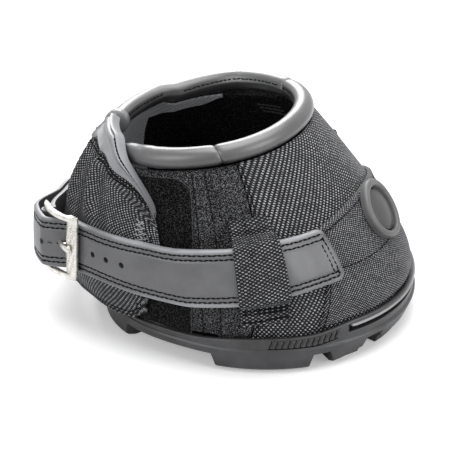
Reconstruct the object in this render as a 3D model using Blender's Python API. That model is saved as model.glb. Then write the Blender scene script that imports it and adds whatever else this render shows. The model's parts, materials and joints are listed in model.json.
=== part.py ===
"""Horse hoof boot, near side at -Y, toe at +X, standing on z = 0, in metres.

The upper is a form that every fabric and leather piece follows. A place on it is an angle round the
boot (0 at the toe, negative on the near side), a rise from its seat (0) to the collar line (1), and
an offset outwards from the form.
"""

import math

import bmesh
import bpy
import numpy as np
from mathutils import Vector

# Form of the upper: seat in the sole, belly that pulls the wall out, and collar line
SEAT_CENTRE = 0.006
SEAT_FRONT = 0.078
SEAT_REAR = 0.08
SEAT_HALF_WIDTH = 0.072
SEAT_HEIGHT = 0.0119
BELLY_CENTRE = -0.006
BELLY_FRONT = 0.098
BELLY_REAR = 0.102
BELLY_HALF_WIDTH = 0.077
BELLY_HEIGHT_FRONT = 0.0364
BELLY_HEIGHT_SIDE = 0.0444
BELLY_HEIGHT_REAR = 0.0304
COLLAR_CENTRE = -0.024
COLLAR_FRONT = 0.054
COLLAR_REAR = 0.049
COLLAR_HALF_WIDTH = 0.0535
COLLAR_HEIGHT = 0.0909
COLLAR_TILT_SHARE = 0.16
FRONT_SQUARENESS_SHARE = 1.95
REAR_SQUARENESS_SHARE = 2.6
COLLAR_SQUARENESS_SHARE = 2.1

# Thicknesses of the layers and the clearance between pieces that lie on each other
CLEARANCE = 0.0004
UPPER_THICKNESS = 0.003
LINING_THICKNESS = 0.0022
PILE_THICKNESS = 0.0015
OVERLAY_THICKNESS = 0.0015
TOE_CAP_BULGE = 0.0012
LOOP_THICKNESS = 0.0008
HOOK_THICKNESS = 0.0006
FLAP_THICKNESS = 0.002
FLAP_HANG = 0.004
FLAP_LINING_THICKNESS = 0.0015
BINDING_THICKNESS = 0.0012
STRAP_THICKNESS = 0.0034
BUCKLE_STRAP_THICKNESS = 0.0028
KEEPER_THICKNESS = 0.0016

# Straps and keepers
STRAP_WIDTH = 0.029
BUCKLE_BELT_WIDTH = 0.0255
STRAP_END_WIDTH = 0.027
STRAP_END_CORNER = 0.004
TIP_POINT_LENGTH = 0.012
HOLE_LENGTH = 0.003
HOLE_PITCH = 0.0078
SLOT_LENGTH = 0.016
SLOT_WIDTH = 0.0062
KEEPER_WALL_LENGTH = 0.003
KEEPER_WALL_ROOM = 0.0008
KEEPER_FOOT_BELOW = 0.016
KEEPER_FOOT_ABOVE = 0.0105

# Padded collar
COLLAR_ROLL_HALF_DEPTH = 0.005
COLLAR_ROLL_HALF_HEIGHT = 0.0056
COLLAR_ROLL_OFFSET = -0.0015
COLLAR_TUCK_OFFSET = -0.0045
FLAP_ROLL_OFFSET = 0.001

# Buckle
BAR_RADIUS = 0.00175
EYE_CLEARANCE = 0.0003
EYE_WALL = 0.0022
NEAR_BAR_WIDTH = 0.009
NEAR_BAR_THICKNESS = 0.003
NEAR_BAR_ROOM = 0.0009
BUCKLE_ARM_THICKNESS = 0.0028
BUCKLE_ARM_DEPTH = 0.0036
BUCKLE_ARM_BOW = 0.0035
BUCKLE_SIDE_ROOM = 0.0008
PRONG_THICKNESS = 0.0024
PRONG_WIDTH = 0.0034
PRONG_RING_WALL = 0.0016
PRONG_ROOM = 0.001
PRONG_OVERHANG = 0.0022
HEEL_BAR_STAND = 0.0042

# Badge
BADGE_RADIUS = 0.0149
BADGE_RIM_WIDTH = 0.0034
BADGE_RIM_HEIGHT = 0.0038
BADGE_DISC_HEIGHT = 0.0022
BADGE_BEVEL = 0.001

# Sole
SOLE_REAR = 0.0705
RIM_WALL = 0.0024
RIM_LEAN_ROOM = 0.0012
SOLE_FLOOR = 0.0114
LUG_HEIGHT = 0.009
LUG_BEVEL = 0.0014
TOE_ROCKER = 0.0042
TOE_UNDERCUT = 0.0028
STEP_HEIGHT = 0.0134
STEP_DEPTH = 0.0005
RIM_HEIGHT_SIDE = 0.0159
RIM_HEIGHT_HEEL = 0.0149
RIM_HEIGHT_FRONT = 0.0194
RIM_HEIGHT_TOE = 0.0231
GROOVE_LOW = 0.0168
GROOVE_HIGH = 0.0208
GROOVE_DEPTH = 0.0017
TOE_STRIP_HEIGHT = 0.0022
INSOLE_THICKNESS = 0.0037

# Angles round the boot, in degrees
VAMP_LOW_ANGLE = 70.0
VAMP_LEAN = 22.0
COLLAR_SEAM_ANGLE = 55.0
LINING_ANGLE = 74.0
FLAP_ROOT_ANGLE = 138.0
NEAR_TAIL_ANGLE = -165.0
FLAP_ROLL_END_ANGLE = 194.0
NEAR_ROLL_END_ANGLE = -158.0
FLAP_CORNER_ANGLE = 254.0
FLAP_FRONT_ANGLE = 269.0
STRAP_END_ANGLE = 29.0
FAR_STRAP_END_ANGLE = 58.0
FAR_STRAP_SPLIT_ANGLE = 92.0
SWING_ANGLE = 71.0
TIP_ROOT_ANGLE = -116.0
NEAR_BAR_ANGLE = -123.0
HEEL_BAR_ANGLE = -144.0
TIP_END_ANGLE = -180.0
TOE_BAND_ANGLE = 50.0
TOE_CAP_LOW_ANGLE = 48.0
TOE_CAP_LEAN = 27.0
KEEPER_ANGLES = (50.0, 66.5)
FAR_KEEPER_ANGLES = (71.0, 87.5)
BADGE_ANGLE = 8.0
KEEPER_LEAN = 12.0
LOOP_FRONT_ANGLE = -91.5
LOOP_LEAN = 18.0
GROOVE_ANGLE = 28.0
SEAM_GAP_ANGLE = 0.35

# Half turns, and how finely the form is divided, in degrees and rows
HALF_TURN = 180.0
COLUMN_ANGLE = 5.0
SOLE_COLUMN_ANGLE = 6.0
WALL_ROWS = 10
ROLL_SIDES = 10
ROUND_STEPS = 24
ANGLE_STEP = 1e-4
SEARCH_STEPS = 30

# Where the strap's middle runs, as shares of the wall's rise, by angle from the toe
STRAP_RISE_ANGLES = (28.0, 50.0, 67.0, 85.0, 100.0, 115.0, 180.0)
STRAP_RISE_SHARES = (0.58, 0.55, 0.515, 0.485, 0.485, 0.495, 0.46)

# Where edges lie, as shares of the wall's rise from seat to collar line
LINING_LOW_SHARE = 0.03
LINING_TOP_SHARE = 0.97
FLAP_LINING_TOP_SHARE = 0.95
LOOP_TOP_SHARE = 0.975
HOOK_RISE_SHARES = (0.16, 0.93)
TOE_BAND_SHARES = (0.49, 0.74)
TOE_BAND_DROP_SHARE = 0.14
TOE_CAP_TOP_SHARE = 0.475
BADGE_RISE_SHARE = 0.62
FLAP_LOW_SHARE = 0.015
FLAP_CORNER_SHARE = 0.07
FLAP_TOP_SHARES = (0.985, 1.11, 0.95)
FLAP_FRONT_DROP_SHARE = 0.16
BINDING_SHARES = (0.11, 0.02)
HANG_SHARES = (0.04, 0.28)

# The tread's rings and recesses, as shares of the way from its middle to its edge
TREAD_SHARES = (0.13, 0.15, 0.29, 0.31, 0.46, 0.48, 0.61, 0.64, 0.93)

LOOP_OUT = CLEARANCE + LOOP_THICKNESS
HOOK_IN = LOOP_OUT + CLEARANCE
FLAP_IN = HOOK_IN + HOOK_THICKNESS + CLEARANCE
FLAP_OUT = FLAP_IN + FLAP_THICKNESS
STRAP_IN = FLAP_OUT + CLEARANCE
STRAP_OUT = STRAP_IN + STRAP_THICKNESS
KEEPER_IN = STRAP_OUT + CLEARANCE
KEEPER_OUT = KEEPER_IN + KEEPER_THICKNESS
OVERLAY_OUT = CLEARANCE + OVERLAY_THICKNESS
SEWN_STRAP_IN = OVERLAY_OUT + CLEARANCE
HINGE_OFFSET = KEEPER_OUT + CLEARANCE
EYE_RADIUS = BAR_RADIUS + EYE_CLEARANCE + EYE_WALL
BAR_OFFSET = STRAP_IN + HEEL_BAR_STAND + EYE_RADIUS
SEWN_FAR_IN = CLEARANCE
RIM_INSIDE = CLEARANCE + RIM_LEAN_ROOM
SOLE_EDGE = RIM_INSIDE + RIM_WALL


def material(name, colour, roughness, metallic=0.0):
    """Principled material of one finish."""
    made = bpy.data.materials.new(name)
    made.use_nodes = True
    shader = made.node_tree.nodes["Principled BSDF"]
    shader.inputs["Base Color"].default_value = (*colour, 1.0)
    shader.inputs["Roughness"].default_value = roughness
    shader.inputs["Metallic"].default_value = metallic
    made.diffuse_color = (*colour, 1.0)
    return made


FINISHES = {
    "rubber": ((0.035, 0.036, 0.04), 0.55, 0.0),
    "trim": ((0.45, 0.46, 0.48), 0.4, 0.0),
    "ballistic_weave": ((0.02, 0.021, 0.024), 0.8, 0.0),
    "fine_weave": ((0.03, 0.031, 0.035), 0.75, 0.0),
    "nylon": ((0.018, 0.019, 0.022), 0.7, 0.0),
    "leather": ((0.05, 0.052, 0.06), 0.35, 0.0),
    "soft_leather": ((0.03, 0.031, 0.035), 0.3, 0.0),
    "webbing": ((0.022, 0.023, 0.026), 0.8, 0.0),
    "loop_pile": ((0.006, 0.006, 0.007), 0.95, 0.0),
    "lining": ((0.07, 0.072, 0.078), 0.85, 0.0),
    "metal": ((0.72, 0.7, 0.66), 0.25, 1.0),
    "foam": ((0.03, 0.03, 0.032), 0.9, 0.0),
    "badge": ((0.25, 0.25, 0.26), 0.5, 0.0),
}


def add_body(name, finish, mesh, origin=(0.0, 0.0, 0.0), smooth_angle=35.0):
    """Named object from a bmesh in world places, with its origin where it turns."""
    bmesh.ops.recalc_face_normals(mesh, faces=mesh.faces[:])
    bmesh.ops.translate(mesh, verts=mesh.verts[:], vec=-Vector(origin))
    data = bpy.data.meshes.new(name)
    mesh.to_mesh(data)
    mesh.free()
    data.shade_smooth()
    data.set_sharp_from_angle(angle=math.radians(smooth_angle))
    data.materials.append(material(name, *FINISHES[finish]))
    made = bpy.data.objects.new(name, data)
    made.location = origin
    bpy.context.scene.collection.objects.link(made)
    return made


def add_cutter(name, mesh):
    """Helper body that is hidden from the render."""
    made = add_body(name, "metal", mesh)
    made.hide_render = True
    made.display_type = "WIRE"
    return made


def combine(target, other, operation):
    """Boolean of one object with another, kept as a modifier."""
    modifier = target.modifiers.new(other.name, "BOOLEAN")
    modifier.object = other
    modifier.operation = operation
    modifier.solver = "EXACT"


def smooth_step(value, start, end):
    """0 before start, 1 after end, and an even change of slope between."""
    share = min(max((value - start) / (end - start), 0.0), 1.0)
    return share * share * (3.0 - 2.0 * share)


def outline(centre, front, rear, half_width, front_square, rear_square, angle):
    """Point of a superellipse with unlike front and rear halves, angle in radians."""
    along, across = math.cos(angle), math.sin(angle)
    power = 2.0 / (front_square if along >= 0.0 else rear_square)
    reach = front if along >= 0.0 else rear
    x = centre + reach * math.copysign(abs(along) ** power, along)
    return x, math.copysign(abs(across) ** power, across) * half_width


def seat_point(degrees, outset, height, share=1.0):
    """Point on the sole's plan, outset from the seat and drawn in to a share of it."""
    x, y = outline(
        0.0,
        (SEAT_FRONT + outset) * share,
        (SOLE_REAR + outset) * share,
        (SEAT_HALF_WIDTH + outset) * share,
        FRONT_SQUARENESS_SHARE,
        REAR_SQUARENESS_SHARE,
        math.radians(degrees),
    )
    return Vector((SEAT_CENTRE + x, y, height))


def control_points(angle):
    """Seat, belly and collar points of the wall at one angle in radians."""
    squares = (FRONT_SQUARENESS_SHARE, REAR_SQUARENESS_SHARE)
    seat = outline(SEAT_CENTRE, SEAT_FRONT, SEAT_REAR, SEAT_HALF_WIDTH, *squares, angle)
    belly = outline(BELLY_CENTRE, BELLY_FRONT, BELLY_REAR, BELLY_HALF_WIDTH, *squares, angle)
    squares = (COLLAR_SQUARENESS_SHARE, COLLAR_SQUARENESS_SHARE)
    collar = outline(COLLAR_CENTRE, COLLAR_FRONT, COLLAR_REAR, COLLAR_HALF_WIDTH, *squares, angle)
    facing = math.cos(angle)
    end_height = BELLY_HEIGHT_FRONT if facing > 0.0 else BELLY_HEIGHT_REAR
    belly_height = BELLY_HEIGHT_SIDE + (end_height - BELLY_HEIGHT_SIDE) * facing * facing
    collar_height = COLLAR_HEIGHT + COLLAR_TILT_SHARE * (collar[0] - COLLAR_CENTRE)
    return (
        Vector((*seat, SEAT_HEIGHT)),
        Vector((*belly, belly_height)),
        Vector((*collar, collar_height)),
    )


def wall_point(angle, rise):
    """Point of the form, angle in radians."""
    seat, belly, collar = control_points(angle)
    back = 1.0 - rise
    return seat * back * back + belly * 2.0 * rise * back + collar * rise * rise


def wall_frame(degrees, rise):
    """Point, outward normal, direction forwards round the wall and direction up it."""
    angle = math.radians(degrees)
    seat, belly, collar = control_points(angle)
    round_wall = wall_point(angle + ANGLE_STEP, rise) - wall_point(angle - ANGLE_STEP, rise)
    up_wall = (belly - seat) * (1.0 - rise) + (collar - belly) * rise
    normal = round_wall.cross(up_wall).normalized()
    return wall_point(angle, rise), normal, round_wall.normalized(), up_wall.normalized()


def place(degrees, rise, offset):
    """Point at an offset outwards from the form."""
    point, normal, _, _ = wall_frame(degrees, rise)
    return point + normal * offset


def rise_speed(degrees, rise):
    """Length of wall for a whole unit of rise."""
    seat, belly, collar = control_points(math.radians(degrees))
    return 2.0 * ((belly - seat) * (1.0 - rise) + (collar - belly) * rise).length


def round_speed(degrees, rise):
    """Length of wall for a degree round it."""
    angle = math.radians(degrees)
    ahead = wall_point(angle + ANGLE_STEP, rise)
    return (ahead - wall_point(angle, rise)).length * math.radians(1.0) / ANGLE_STEP


def rise_at_height(degrees, height):
    """Rise at which the wall reaches a height."""
    low, high = 0.0, 1.0
    for _ in range(SEARCH_STEPS):
        middle = (low + high) * 0.5
        if wall_point(math.radians(degrees), middle).z < height:
            low = middle
        else:
            high = middle
    return low


def angle_from_toe(degrees):
    """Angle to the toe, the same on both sides."""
    return abs((degrees + HALF_TURN) % (2.0 * HALF_TURN) - HALF_TURN)


def strap_rise(degrees, above=0.0):
    """Rise of a line that keeps a distance above the strap's middle."""
    middle = float(np.interp(angle_from_toe(degrees), STRAP_RISE_ANGLES, STRAP_RISE_SHARES))
    return middle + above / rise_speed(degrees, middle)


def strap_point(degrees, above, offset):
    """Point of a strap: it lies on the curved wall in front, and is flat across from the keeper back."""
    curved = place(degrees, strap_rise(degrees, above), offset)
    point, normal, _, up = wall_frame(degrees, strap_rise(degrees))
    flat = point + normal * offset + up * above
    return curved.lerp(flat, smooth_step(angle_from_toe(degrees), 44.0, 64.0))


def strap_width(degrees):
    """Width of the belt, which narrows to fit the buckle."""
    narrow = smooth_step(angle_from_toe(degrees), 84.0, 114.0)
    return STRAP_WIDTH + (BUCKLE_BELT_WIDTH - STRAP_WIDTH) * narrow


def rim_height(degrees):
    """Top of the sole's rim."""
    from_toe = angle_from_toe(degrees)
    toe_share = 1.0 - smooth_step(from_toe, 28.0, 50.0)
    front_share = 1.0 - smooth_step(from_toe, 62.0, 96.0)
    heel_share = smooth_step(from_toe, 96.0, 120.0)
    height = RIM_HEIGHT_SIDE + (RIM_HEIGHT_FRONT - RIM_HEIGHT_SIDE) * front_share
    height += (RIM_HEIGHT_TOE - RIM_HEIGHT_FRONT) * toe_share
    return height + (RIM_HEIGHT_HEEL - RIM_HEIGHT_SIDE) * heel_share


def wall_foot(degrees):
    """Rise of the upper's lower edge: inside the rim in front, on top of it behind."""
    on_rim = rise_at_height(degrees, rim_height(degrees) + CLEARANCE)
    return on_rim * smooth_step(angle_from_toe(degrees), 76.0, 84.0)


def over_rim(degrees):
    """Rise of the lower edge of what lies on the upper's outside."""
    return rise_at_height(degrees, rim_height(degrees) + CLEARANCE + CLEARANCE)


def columns_between(start, end, step=COLUMN_ANGLE):
    """Angles from start to end, on the common grid between them."""
    low, high = min(start, end), max(start, end)
    least = step * 0.2
    inside = [k * step for k in range(math.ceil(low / step), math.floor(high / step) + 1)]
    return [low, *[a for a in inside if a - low > least and high - a > least], high]


def even(count):
    """Shares from 0 to 1 in equal steps."""
    return [k / count for k in range(count + 1)]


def block(columns, rows, corner):
    """Closed body: a grid, extruded once, whose corners go where corner(u, v, layer) says."""
    mesh = bmesh.new()
    wide, tall = len(columns) - 1, len(rows) - 1
    bmesh.ops.create_grid(mesh, x_segments=wide, y_segments=tall, size=0.5)
    sheet = mesh.verts[:]
    made = bmesh.ops.extrude_face_region(mesh, geom=mesh.faces[:])["geom"]
    outer = {v for v in made if isinstance(v, bmesh.types.BMVert)}
    cells = {v: (round((v.co.x + 0.5) * wide), round((v.co.y + 0.5) * tall)) for v in mesh.verts}
    for vertex in [*sheet, *outer]:
        column, row = cells[vertex]
        vertex.co = corner(columns[column], rows[row], vertex in outer)
    return mesh


def panel(columns, rows, low, high, inner, outer, lean=None):
    """Sheet on the form between two edges, each a rise by angle, at two offsets."""

    def corner(degrees, share, is_outer):
        foot, top = low(degrees), high(degrees)
        rise = foot + (top - foot) * share
        angle = lean(degrees, rise) if lean else degrees
        offset = outer if is_outer else inner
        return place(angle, rise, offset(degrees, share) if callable(offset) else offset)

    return block(columns, rows, corner)


def band(columns, width, inner, outer, rows=2):
    """Strap that follows the strap line; width and offsets are values or go by angle."""

    def corner(degrees, share, is_outer):
        across = width(degrees) if callable(width) else width
        offset = outer if is_outer else inner
        return strap_point(degrees, across * (share - 0.5), offset(degrees) if callable(offset) else offset)

    return block(columns, even(rows), corner)


def roll(columns, offset, sides=ROLL_SIDES):
    """Padded tube along the collar line."""
    mesh = bmesh.new()
    rings = []
    for degrees in columns:
        point, normal, _, up = wall_frame(degrees, 1.0)
        shift = offset(degrees) if callable(offset) else offset
        middle = point + normal * shift + up * (COLLAR_ROLL_HALF_HEIGHT + CLEARANCE)
        ring = []
        for k in range(sides):
            turn = math.tau * k / sides
            across = normal * (COLLAR_ROLL_HALF_DEPTH * math.cos(turn))
            ring.append(mesh.verts.new(middle + across + up * (COLLAR_ROLL_HALF_HEIGHT * math.sin(turn))))
        rings.append(ring)
    skin_rings(mesh, rings)
    return mesh


def skin_rings(mesh, rings, closed_rings=True):
    """Quads between rings of points, with a cap on the first and the last."""
    count = len(rings[0])
    for first, second in zip(rings, rings[1:]):
        for k in range(count if closed_rings else count - 1):
            after = (k + 1) % count
            mesh.faces.new((first[k], first[after], second[after], second[k]))
    mesh.faces.new(rings[0])
    mesh.faces.new(rings[-1])


def add_outsole():
    """Cup sole: tread with lugs and blocks, wall with a step line, toe groove, rim and floor."""
    lugs = [(-16.0, 16.0), (26.0, 39.0), (48.5, 81.5), (118.0, 141.0)]
    lugs += [(-high, -low) for low, high in lugs if low > 0.0]
    blocks = [(turn - 13.0, turn + 13.0) for turn in range(-150, 180, 60)]
    draft = 1.6
    marks = {-HALF_TURN}
    for low, high in [*lugs, *blocks]:
        marks.update((low - draft, low, high, high + draft))
    marks.update((-GROOVE_ANGLE - SEAM_GAP_ANGLE, -GROOVE_ANGLE, GROOVE_ANGLE, GROOVE_ANGLE + SEAM_GAP_ANGLE))
    for degrees in columns_between(-HALF_TURN, HALF_TURN, SOLE_COLUMN_ANGLE):
        if all(abs(degrees - mark) > 1.5 for mark in marks) and degrees < HALF_TURN:
            marks.add(degrees)

    def inside(degrees, spans):
        return any(low <= degrees <= high for low, high in spans)

    def profile(degrees):
        """Points from the tread's centre out, up the wall, over the rim and in to the floor."""
        ring_height = 0.0 if inside(degrees, blocks) else LUG_HEIGHT
        on_lug = inside(degrees, lugs)
        lug_height = 0.0 if on_lug else LUG_HEIGHT
        toe = 1.0 - smooth_step(abs(degrees), 20.0, 45.0)
        edge = LUG_BEVEL + (TOE_ROCKER - LUG_BEVEL) * toe if on_lug else LUG_HEIGHT
        under = TOE_UNDERCUT * toe
        groove = GROOVE_DEPTH if abs(degrees) <= GROOVE_ANGLE else 0.0
        top = rim_height(degrees)
        upper_edge = SOLE_EDGE - STEP_DEPTH
        step_top = STEP_HEIGHT + STEP_DEPTH * 0.4
        levels = [step_top + (top - STEP_DEPTH - step_top) * share for share in (0.2, 0.4, 0.6, 0.8)]
        if abs(degrees) <= GROOVE_ANGLE + 2.0 * SEAM_GAP_ANGLE:
            levels = [GROOVE_LOW, GROOVE_LOW + STEP_DEPTH, GROOVE_HIGH - STEP_DEPTH, GROOVE_HIGH]
        if groove:
            levels = [GROOVE_LOW, GROOVE_LOW, GROOVE_HIGH, GROOVE_HIGH]
        low_levels = (
            0.0, LUG_HEIGHT, LUG_HEIGHT, ring_height, ring_height,
            LUG_HEIGHT, LUG_HEIGHT, lug_height, lug_height,
        )
        plan = [(SOLE_EDGE, share, level) for share, level in zip(TREAD_SHARES, low_levels)]
        foot_height = LUG_HEIGHT if on_lug else LUG_HEIGHT + LUG_BEVEL * 0.5
        plan += [
            (SOLE_EDGE - LUG_BEVEL - under, 1.0, edge), (SOLE_EDGE - under * 0.5, 1.0, foot_height),
            (SOLE_EDGE, 1.0, STEP_HEIGHT), (upper_edge, 1.0, step_top),
            (upper_edge, 1.0, levels[0]), (upper_edge - groove, 1.0, levels[1]),
            (upper_edge - groove, 1.0, levels[2]), (upper_edge, 1.0, levels[3]),
            (upper_edge, 1.0, top - STEP_DEPTH), (upper_edge - STEP_DEPTH, 1.0, top),
            (RIM_INSIDE, 1.0, top), (RIM_INSIDE, 1.0, SOLE_FLOOR), (RIM_INSIDE, 0.5, SOLE_FLOOR),
        ]
        return [seat_point(degrees, outset, height, share) for outset, share, height in plan]

    mesh = bmesh.new()
    rings = [[mesh.verts.new(p) for p in profile(degrees)] for degrees in sorted(marks)]
    bottom = mesh.verts.new((SEAT_CENTRE, 0.0, 0.0))
    top = mesh.verts.new((SEAT_CENTRE, 0.0, SOLE_FLOOR))
    for first, second in zip(rings, rings[1:] + rings[:1]):
        for a, b, c, d in zip(first, second, second[1:], first[1:]):
            mesh.faces.new((a, b, c, d))
        mesh.faces.new((bottom, second[0], first[0]))
        mesh.faces.new((top, first[-1], second[-1]))
    add_body("outsole", "rubber", mesh, smooth_angle=28.0)


def add_toe_strip():
    """Strip that lies in the upper part of the toe groove."""
    wall = SOLE_EDGE - STEP_DEPTH - GROOVE_DEPTH + CLEARANCE
    low = GROOVE_HIGH - CLEARANCE - TOE_STRIP_HEIGHT
    end = GROOVE_ANGLE - 1.0

    def corner(degrees, share, is_outer):
        outset = wall + (GROOVE_DEPTH if is_outer else 0.0)
        return seat_point(degrees, outset, low + TOE_STRIP_HEIGHT * share)

    add_body("toe_strip", "trim", block(columns_between(-end, end), even(1), corner))


def add_insole():
    """Pad that the hoof stands on."""
    inset = -(UPPER_THICKNESS + LINING_THICKNESS + 3.0 * CLEARANCE + STEP_DEPTH)
    bottom = SOLE_FLOOR + CLEARANCE
    mesh = bmesh.new()
    rings = []
    top = bottom + INSOLE_THICKNESS
    angles = columns_between(-HALF_TURN, HALF_TURN, SOLE_COLUMN_ANGLE)[:-1]
    for height, drawn in ((bottom, 0.0), (top - STEP_DEPTH, 0.0), (top, STEP_DEPTH)):
        rings.append([mesh.verts.new(seat_point(a, inset - drawn, height)) for a in angles])
    skin_rings(mesh, rings)
    add_body("insole_pad", "foam", mesh)


def add_upper():
    """Vamp, two rear side panels and the linings."""
    rows = even(WALL_ROWS)

    def seam(rise):
        return VAMP_LOW_ANGLE - VAMP_LEAN * rise

    def vamp_lean(degrees, rise):
        return degrees / VAMP_LOW_ANGLE * (seam(rise) - SEAM_GAP_ANGLE)

    vamp_columns = columns_between(-VAMP_LOW_ANGLE, VAMP_LOW_ANGLE)
    mesh = panel(vamp_columns, rows, wall_foot, lambda a: 1.0, -UPPER_THICKNESS, 0.0, vamp_lean)
    add_body("vamp", "ballistic_weave", mesh)
    for name, end in (("side_near", NEAR_TAIL_ANGLE), ("side_far", FLAP_ROOT_ANGLE - SEAM_GAP_ANGLE)):
        sign = math.copysign(1.0, end)

        def side_lean(degrees, rise, end=end, sign=sign):
            share = (degrees - sign * VAMP_LOW_ANGLE) / (end - sign * VAMP_LOW_ANGLE)
            start = sign * (seam(rise) + SEAM_GAP_ANGLE)
            return start + (end - start) * share

        columns = columns_between(sign * VAMP_LOW_ANGLE, end)
        mesh = panel(columns, rows, wall_foot, lambda a: 1.0, -UPPER_THICKNESS, 0.0, side_lean)
        add_body(name, "nylon", mesh)
    outer = -UPPER_THICKNESS - CLEARANCE
    linings = (
        ("lining_front", "lining", -LINING_ANGLE, LINING_ANGLE, LINING_THICKNESS, 5.0),
        ("pile_panel", "loop_pile", LINING_ANGLE + SEAM_GAP_ANGLE, 134.0, PILE_THICKNESS, COLUMN_ANGLE),
    )
    for name, finish, start, end, thickness, step in linings:
        def low(degrees):
            return wall_foot(degrees) + LINING_LOW_SHARE

        columns = columns_between(start, end, step)
        mesh = panel(columns, even(WALL_ROWS - 2), low, lambda a: LINING_TOP_SHARE, outer - thickness, outer)
        add_body(name, finish, mesh)


def add_toe_overlays():
    """Band that carries the badge, and the cap below it."""
    columns = columns_between(-TOE_BAND_ANGLE, TOE_BAND_ANGLE)
    low, high = TOE_BAND_SHARES

    def band_top(degrees):
        return high - TOE_BAND_DROP_SHARE * (degrees / TOE_BAND_ANGLE) ** 2

    mesh = panel(columns, even(4), lambda a: low, band_top, CLEARANCE, OVERLAY_OUT)
    add_body("toe_band", "fine_weave", mesh)

    def cap_lean(degrees, rise):
        return degrees / TOE_CAP_LOW_ANGLE * (TOE_CAP_LOW_ANGLE - TOE_CAP_LEAN * rise)

    def cap_outer(degrees, share):
        fade = 1.0 - abs(degrees) / TOE_CAP_LOW_ANGLE
        return OVERLAY_OUT + TOE_CAP_BULGE * math.sin(math.pi * share) * fade

    def cap_low(degrees):
        return over_rim(cap_lean(degrees, 0.2)) + FLAP_LOW_SHARE

    columns = columns_between(-TOE_CAP_LOW_ANGLE, TOE_CAP_LOW_ANGLE)
    mesh = panel(columns, even(5), cap_low, lambda a: TOE_CAP_TOP_SHARE, CLEARANCE, cap_outer, cap_lean)
    add_body("toe_cap", "fine_weave", mesh)


def add_badge():
    """Raised ring and the disc inside it, both lying on the toe band."""
    across_speed = round_speed(BADGE_ANGLE, BADGE_RISE_SHARE)
    up_speed = rise_speed(BADGE_ANGLE, BADGE_RISE_SHARE)
    base = OVERLAY_OUT + CLEARANCE
    inner = BADGE_RADIUS - BADGE_RIM_WIDTH

    def ring_points(mesh, radius, height):
        ring = []
        for k in range(ROUND_STEPS):
            turn = math.tau * k / ROUND_STEPS
            across = BADGE_ANGLE + radius * math.cos(turn) / across_speed
            up = BADGE_RISE_SHARE + radius * math.sin(turn) / up_speed
            ring.append(mesh.verts.new(place(across, up, height)))
        return ring

    top = base + BADGE_RIM_HEIGHT
    section = (
        (inner, base), (BADGE_RADIUS, base), (BADGE_RADIUS, top - BADGE_BEVEL),
        (BADGE_RADIUS - BADGE_BEVEL, top), (inner + BADGE_BEVEL, top), (inner, top - BADGE_BEVEL),
    )
    mesh = bmesh.new()
    rings = [ring_points(mesh, radius, height) for radius, height in section]
    for first, second in zip(rings, rings[1:] + rings[:1]):
        for k in range(ROUND_STEPS):
            after = (k + 1) % ROUND_STEPS
            mesh.faces.new((first[k], first[after], second[after], second[k]))
    add_body("badge_rim", "badge", mesh)
    edge = inner - CLEARANCE
    mesh = bmesh.new()
    face = base + BADGE_DISC_HEIGHT
    discs = ((edge * 0.5, base), (edge, base), (edge, face), (edge * 0.5, face))
    rings = [ring_points(mesh, radius, height) for radius, height in discs]
    ends = [mesh.verts.new(place(BADGE_ANGLE, BADGE_RISE_SHARE, height)) for height in (base, face)]
    for first, second in zip(rings, rings[1:]):
        for k in range(ROUND_STEPS):
            after = (k + 1) % ROUND_STEPS
            mesh.faces.new((first[k], first[after], second[after], second[k]))
    for k in range(ROUND_STEPS):
        after = (k + 1) % ROUND_STEPS
        mesh.faces.new((ends[0], rings[0][after], rings[0][k]))
        mesh.faces.new((ends[1], rings[-1][k], rings[-1][after]))
    add_body("badge_disc", "rubber", mesh)


def add_collar():
    """Front, near and far sections of the padded collar."""
    step = 5.0
    seam = COLLAR_SEAM_ANGLE

    def near_offset(degrees):
        tuck = smooth_step(-degrees, 96.0, 112.0)
        return COLLAR_ROLL_OFFSET + (COLLAR_TUCK_OFFSET - COLLAR_ROLL_OFFSET) * tuck

    front = columns_between(-seam + SEAM_GAP_ANGLE, seam - SEAM_GAP_ANGLE, step)
    add_body("collar_front", "soft_leather", roll(front, COLLAR_ROLL_OFFSET))
    near = columns_between(NEAR_ROLL_END_ANGLE, -seam - SEAM_GAP_ANGLE, step)
    add_body("collar_near", "soft_leather", roll(near, near_offset))
    far = columns_between(seam + SEAM_GAP_ANGLE, FLAP_ROOT_ANGLE - SEAM_GAP_ANGLE, step)
    add_body("collar_far", "soft_leather", roll(far, COLLAR_ROLL_OFFSET))


def flap_front(rise):
    """Angle of the flap's front edge."""
    return -91.0 - 9.0 * (1.0 - smooth_step(rise, 0.1, 0.6))


def add_closure():
    """Loop strip on the near side, and the hook patch inside the flap."""
    end = -130.0

    def loop_lean(degrees, rise):
        start = LOOP_FRONT_ANGLE + LOOP_LEAN * rise
        return start + (degrees - LOOP_FRONT_ANGLE) / (end - LOOP_FRONT_ANGLE) * (end - start)

    columns = columns_between(LOOP_FRONT_ANGLE, end)
    rows = even(WALL_ROWS)
    mesh = panel(columns, rows, over_rim, lambda a: LOOP_TOP_SHARE, CLEARANCE, LOOP_OUT, loop_lean)
    add_body("loop_strip", "loop_pile", mesh)
    columns = columns_between(-127.0, -103.0)
    low, high = HOOK_RISE_SHARES
    mesh = panel(columns, rows, lambda a: low, lambda a: high, HOOK_IN, HOOK_IN + HOOK_THICKNESS)
    return add_body("hook_patch", "loop_pile", mesh, flap_axis()[0])


def flap_axis():
    """Point and direction of the line that the flap turns on, outside its layers."""
    point = place(FLAP_ROOT_ANGLE, 0.5, STRAP_OUT + EYE_CLEARANCE)
    seat, _, collar = control_points(math.radians(FLAP_ROOT_ANGLE))
    return point, (collar - seat).normalized()


def flap_shift(degrees):
    """Share of the way from the upper's plane out to the flap's own plane."""
    return smooth_step(degrees, FLAP_ROOT_ANGLE, FLAP_ROOT_ANGLE + 14.0)


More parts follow.
